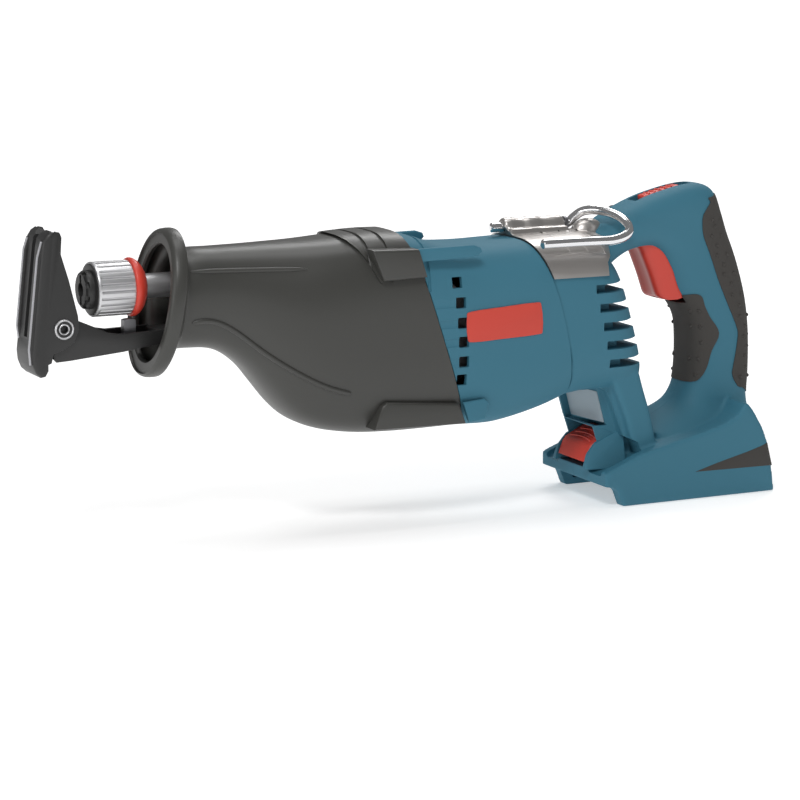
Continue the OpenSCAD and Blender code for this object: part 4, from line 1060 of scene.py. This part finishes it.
class SAW_OT_clamp(bpy.types.Operator):
    """Fluted clamp collar, its red ring and the notched black nose"""
    bl_idname = "saw.clamp"
    bl_label = "Blade clamp"

    def fluted(self, x, radius, depth):
        count = sizes().flutes

        def at(u, v):
            a = math.atan2(v, u)
            r = radius - depth * max(0.0, math.cos(a * count)) ** 3
            return Vector((x, r * math.cos(a), r * math.sin(a)))
        return at

    def collar(self, bm):
        radius = sizes().collar_radius
        outside = [(0.0, radius - 0.7, 0), (0.3, radius - 0.2, 0), (0.8, radius, 0), (1.6, radius, 0),
                   (2.4, radius, 0.95), (21.0, radius, 0.95), (21.6, radius - 0.1, 0.6),
                   (22.0, radius - 0.4, 0.3)]
        inner = radius - 2.6
        bore = [(22.0, inner, 0), (0.0, inner, 0)]
        loops = [ring(bm, self.fluted(*row), 300) for row in outside + bore]
        bridge(bm, loops + loops[:1])

    def execute(self, context):
        collar = helper("collar_sleeve", self.collar)
        carve(collar, self.window)
        place(collar, "clamp_sleeve", "bright_steel", "clamp_collar", angle=28)
        bm = bmesh.new()
        turned(bm, [(22.1, 7.7), (22.1, 15.6), (22.5, 16.3), (23.6, 16.7), (25.2, 16.4), (27.0, 15.2),
                    (28.8, 13.2), (30.2, 10.8), (30.8, 9.2), (30.8, 7.7)], segments=96)
        place(to_object("ring_red", bm), "clamp_sleeve", "red_plastic", "clamp_ring", angle=35)
        nose = bmesh.new()
        turned(nose, [(-5.6, 4.2), (-5.6, 9.0), (-5.0, 10.0), (-4.2, 10.7), (-3.0, 11.0), (-0.7, 11.0),
                      (-0.6, 13.9), (-0.4, 14.5), (-0.1, 14.6), (-0.06, 12.8), (3.8, 12.8), (3.8, 4.2)],
               segments=96)
        nose_piece = to_object("nose_black", nose)
        carve(nose_piece, self.nose_cuts)
        place(nose_piece, "plunger", "black_steel", "clamp_nose", angle=30)
        return {"FINISHED"}

    def window(self, bm):
        made = bmesh.ops.create_cone(bm, cap_ends=True, segments=32, radius1=3.2, radius2=3.2, depth=8)
        bmesh.ops.translate(bm, verts=made["verts"], vec=(16, 0, -15))

    def nose_cuts(self, bm):
        block(bm, (-8, -1.4, -8.5), (5, 1.4, 8.5))
        for k in range(8):
            made = block(bm, (-8, -1.7, 8.9), (-3.8, 1.7, 14), 0.4)
            turn(bm, made, math.radians(22.5 + 45 * k), "X")


# ---- Controls and trim ----

# Height, front and back of the trigger's levels
TRIGGER_ROWS = [
    (19.0, 361.0, 372.0), (14.0, 353.0, 378.0), (9.0, 347.0, 382.0), (2.0, 350.6, 386.0),
    (-6.0, 354.2, 387.0), (-14.0, 357.6, 387.0), (-21.0, 360.2, 386.6), (-25.2, 362.0, 385.0),
    (-27.4, 364.4, 382.6), (-28.4, 368.0, 378.0),
]
SLIDER_TILT = math.radians(13.2)
BUTTON_SIDE = [(308.5, -123), (311.6, -114.8), (313.4, -112.6), (326, -106.2), (332, -106.0), (332, -123)]


class SAW_OT_controls(bpy.types.Operator):
    """Trigger, lock slider and battery release button"""
    bl_idname = "saw.controls"
    bl_label = "Controls"

    def lever(self, bm):
        """The trigger, with a shallow finger hollow down its front between two ridges."""
        half = 12.0
        places = []
        for z, front, back in smooth_row(TRIGGER_ROWS, 4):
            def at(u, v, z=z, front=front, back=back):
                y = squared(v, 4.4)
                x = (front + back) / 2 + (back - front) / 2 * squared(u, 4.4)
                dip = 1.7 * (0.5 + 0.5 * math.cos(math.pi * min(1.0, abs(y) / 0.8)))
                return Vector((x + (dip if u < 0 and back - front > 16 else 0), half * y, z))
            places.append(at)
        loft(bm, places, 72)

    def slider(self, bm):
        made = block(bm, (0, -4.5, -1.1), (26, 4.5, 3.5), 1.3, 3)
        for k in range(5):
            made += block(bm, (4 + 4 * k, -3.6, 3.2), (5.4 + 4 * k, 3.6, 4.1), 0.4, 2)
        turn(bm, made, -SLIDER_TILT, "Y")
        bmesh.ops.translate(bm, verts=made, vec=(356, 0, 32.0))

    def ribs(self, bm):
        """Four curved ribs across the button's top."""
        for k in range(4):
            x, z = 315.6 + 3.4 * k, -111.6 + 1.72 * k
            crowns = [(y, 1 - (y / 12.0) ** 2) for y in range(-12, 13, 2)]
            path = [(x + 1.6 * crown, y, z + 0.55 * crown) for y, crown in crowns]
            tube_along(bm, path, 0.75, 10)

    def execute(self, context):
        trigger = helper("trigger_lever", self.lever)
        carve(trigger, lambda b: plate(
            b, [(371, 14), (392, 14), (400, -32), (369, -25), (365, -2)], -9.5, 9.5))
        place(trigger, "trigger", "red_plastic", "trigger", angle=40)
        place(helper("slider_button", self.slider), "lock_slider", "red_plastic", "lock_slider", angle=40)
        button = helper("release_key", lambda b: plate(b, BUTTON_SIDE, -16.5, 16.5, 1.6, 4))
        carve(button, self.ribs, "UNION")
        place(button, "release_button", "red_plastic", "release_button", angle=40)
        return {"FINISHED"}


class SAW_OT_trim(bpy.types.Operator):
    """Foot inlays, blank data plate and blank side badges"""
    bl_idname = "saw.trim"
    bl_label = "Trim"

    def execute(self, context):
        wedge = [(372, -130.6), (388, -126.3), (410, -121.2), (419.5, -118.6), (424.6, -116.9),
                 (428.4, -131.4), (400, -131.0)]
        inlays = helper("foot_wedges", lambda b: both_sides(b, wedge, 37.5, 40.25, 0.5, 2))
        place(inlays, "body", "grip_rubber", "foot_inlays", angle=35)
        label = bmesh.new()
        made = plate(label, [(313.7, -80), (314.4, -80), (320.0, -99.5), (319.3, -99.5)], -17.5, 15.5, 0.2, 2)
        turn(label, made, LABEL_TURN, "Z", LABEL_PIVOT)
        place(to_object("data_plate_blank", label), "body", "plate_grey", "data_plate", angle=30)
        outline = closed_curve([(220, -22), (240, -20.6), (262, -19.4), (266, -21.5), (267, -36),
                                (263, -38.4), (240, -39.4), (221, -40), (217.5, -37.5), (217, -25)], 3)
        badge = helper("badge_blank", lambda b: both_sides(b, outline, 37.6, 38.9, 0.4, 2))
        place(badge, "body", "badge_red", "side_badge", angle=30)
        return {"FINISHED"}


# ---- Finishes and stage ----

class SAW_OT_finishes(bpy.types.Operator):
    """Finishes for every piece, and each carried-over node's own finish"""
    bl_idname = "saw.finishes"
    bl_label = "Finishes"

    def execute(self, context):
        build_grain_group()
        build_wear_group()
        build_finishes()
        for part in frame["record"]["subparts"]:
            node = frame["nodes"][part["node"]]
            node.data.materials.clear()
            node.data.materials.append(bpy.data.materials[part["material_slot"]])
        return {"FINISHED"}


class SAW_OT_stage(bpy.types.Operator):
    """Pale floor, soft lights and the camera"""
    bl_idname = "saw.stage"
    bl_label = "Stage"

    def light(self, name, spot, target, power, width):
        data = bpy.data.lights.new(name, "AREA")
        data.shape = "RECTANGLE"
        data.size = width
        data.size_y = width * 0.6
        data.energy = power
        lamp = add_object(name, data)
        lamp.location = spot
        lamp.rotation_euler = (Vector(target) - Vector(spot)).to_track_quat("-Z", "Y").to_euler()

    def floor(self):
        """A floor that glows more with distance, so that it fades into white."""
        bm = bmesh.new()
        bmesh.ops.create_grid(bm, x_segments=1, y_segments=1, size=12000)
        bmesh.ops.translate(bm, verts=bm.verts, vec=(200, 0, CAD_BOX[0][2] / MM))
        floor = to_object("studio_floor", bm)
        material = bpy.data.materials.new("studio_floor")
        material.use_nodes = True
        tree = material.node_tree
        shader = tree.nodes["Principled BSDF"]
        shader.inputs["Base Color"].default_value = (*colours().floor, 1.0)
        shader.inputs["Roughness"].default_value = 0.9
        shader.inputs["Emission Color"].default_value = (1, 1, 1, 1)
        reach = tree.nodes.new("ShaderNodeVectorMath")
        reach.operation = "LENGTH"
        tree.links.new(tree.nodes.new("ShaderNodeTexCoord").outputs["Object"], reach.inputs[0])
        glow = tree.nodes.new("ShaderNodeMapRange")
        for label, value in (("From Min", 0.5), ("From Max", 3.0), ("To Min", 0.42), ("To Max", 1.2)):
            glow.inputs[label].default_value = value
        tree.links.new(reach.outputs["Value"], glow.inputs["Value"])
        tree.links.new(glow.outputs["Result"], shader.inputs["Emission Strength"])
        floor.data.materials.append(material)

    def execute(self, context):
        scene = context.scene
        centre = Vector((0.1892, 0.0, -0.0444))
        back = Vector((-0.4326, -0.8870, 0.1616)).normalized()
        data = bpy.data.cameras.new("camera")
        data.sensor_width = 36.0
        data.lens = 130.5
        data.shift_x = 0.00625
        data.shift_y = -0.07
        camera = add_object("camera", data)
        camera.location = centre + back * 1.706
        camera.rotation_euler = (-back).to_track_quat("-Z", "Y").to_euler()
        scene.camera = camera
        self.floor()
        world = bpy.data.worlds.new("studio")
        world.use_nodes = True
        sky = world.node_tree.nodes["Background"]
        sky.inputs["Color"].default_value = (1, 1, 1, 1)
        sky.inputs["Strength"].default_value = 0.22
        scene.world = world
        scene.view_settings.view_transform = "Standard"
        self.light("key_light", (-0.5, -1.0, 1.3), (0.2, 0, 0), 12.0, 0.6)
        self.light("rear_light", (0.9, 0.9, 1.1), (0.25, 0, 0), 7.0, 0.7)
        self.light("front_light", (-1.3, -0.3, 0.35), (0.1, 0, -0.02), 3.0, 0.6)
        self.light("top_light", (0.2, 0.1, 1.5), (0.2, 0, 0), 7.0, 1.0)
        return {"FINISHED"}


class SAW_PT_panel(bpy.types.Panel):
    """Buttons for each piece, with the sizes and colours"""
    bl_idname = "SAW_PT_panel"
    bl_label = "Reciprocating saw"
    bl_space_type = "VIEW_3D"
    bl_region_type = "UI"
    bl_category = "Saw"

    def draw(self, context):
        for name in STEPS:
            self.layout.operator("saw." + name)
        for group in (context.scene.saw_sizes, context.scene.saw_colours):
            for key in group.__annotations__:
                self.layout.prop(group, key)


STEPS = ["finishes", "boot", "motor_housing", "rear_housing", "top_cover", "hook", "shoe", "clamp",
         "controls", "trim", "stage"]
CLASSES = [SawSizes, SawColours, SAW_OT_finishes, SAW_OT_boot, SAW_OT_motor_housing,
           SAW_OT_rear_housing, SAW_OT_top_cover, SAW_OT_hook, SAW_OT_shoe, SAW_OT_clamp, SAW_OT_controls,
           SAW_OT_trim, SAW_OT_stage, SAW_PT_panel]


def register():
    for item in CLASSES:
        bpy.utils.register_class(item)
    bpy.types.Scene.saw_sizes = PointerProperty(type=SawSizes)
    bpy.types.Scene.saw_colours = PointerProperty(type=SawColours)


def unregister():
    del bpy.types.Scene.saw_colours
    del bpy.types.Scene.saw_sizes
    for item in reversed(CLASSES):
        bpy.utils.unregister_class(item)


def main():
    """Builds everything in order."""
    register()
    for name in STEPS:
        getattr(bpy.ops.saw, name)()


if __name__ == "__main__":
    main()
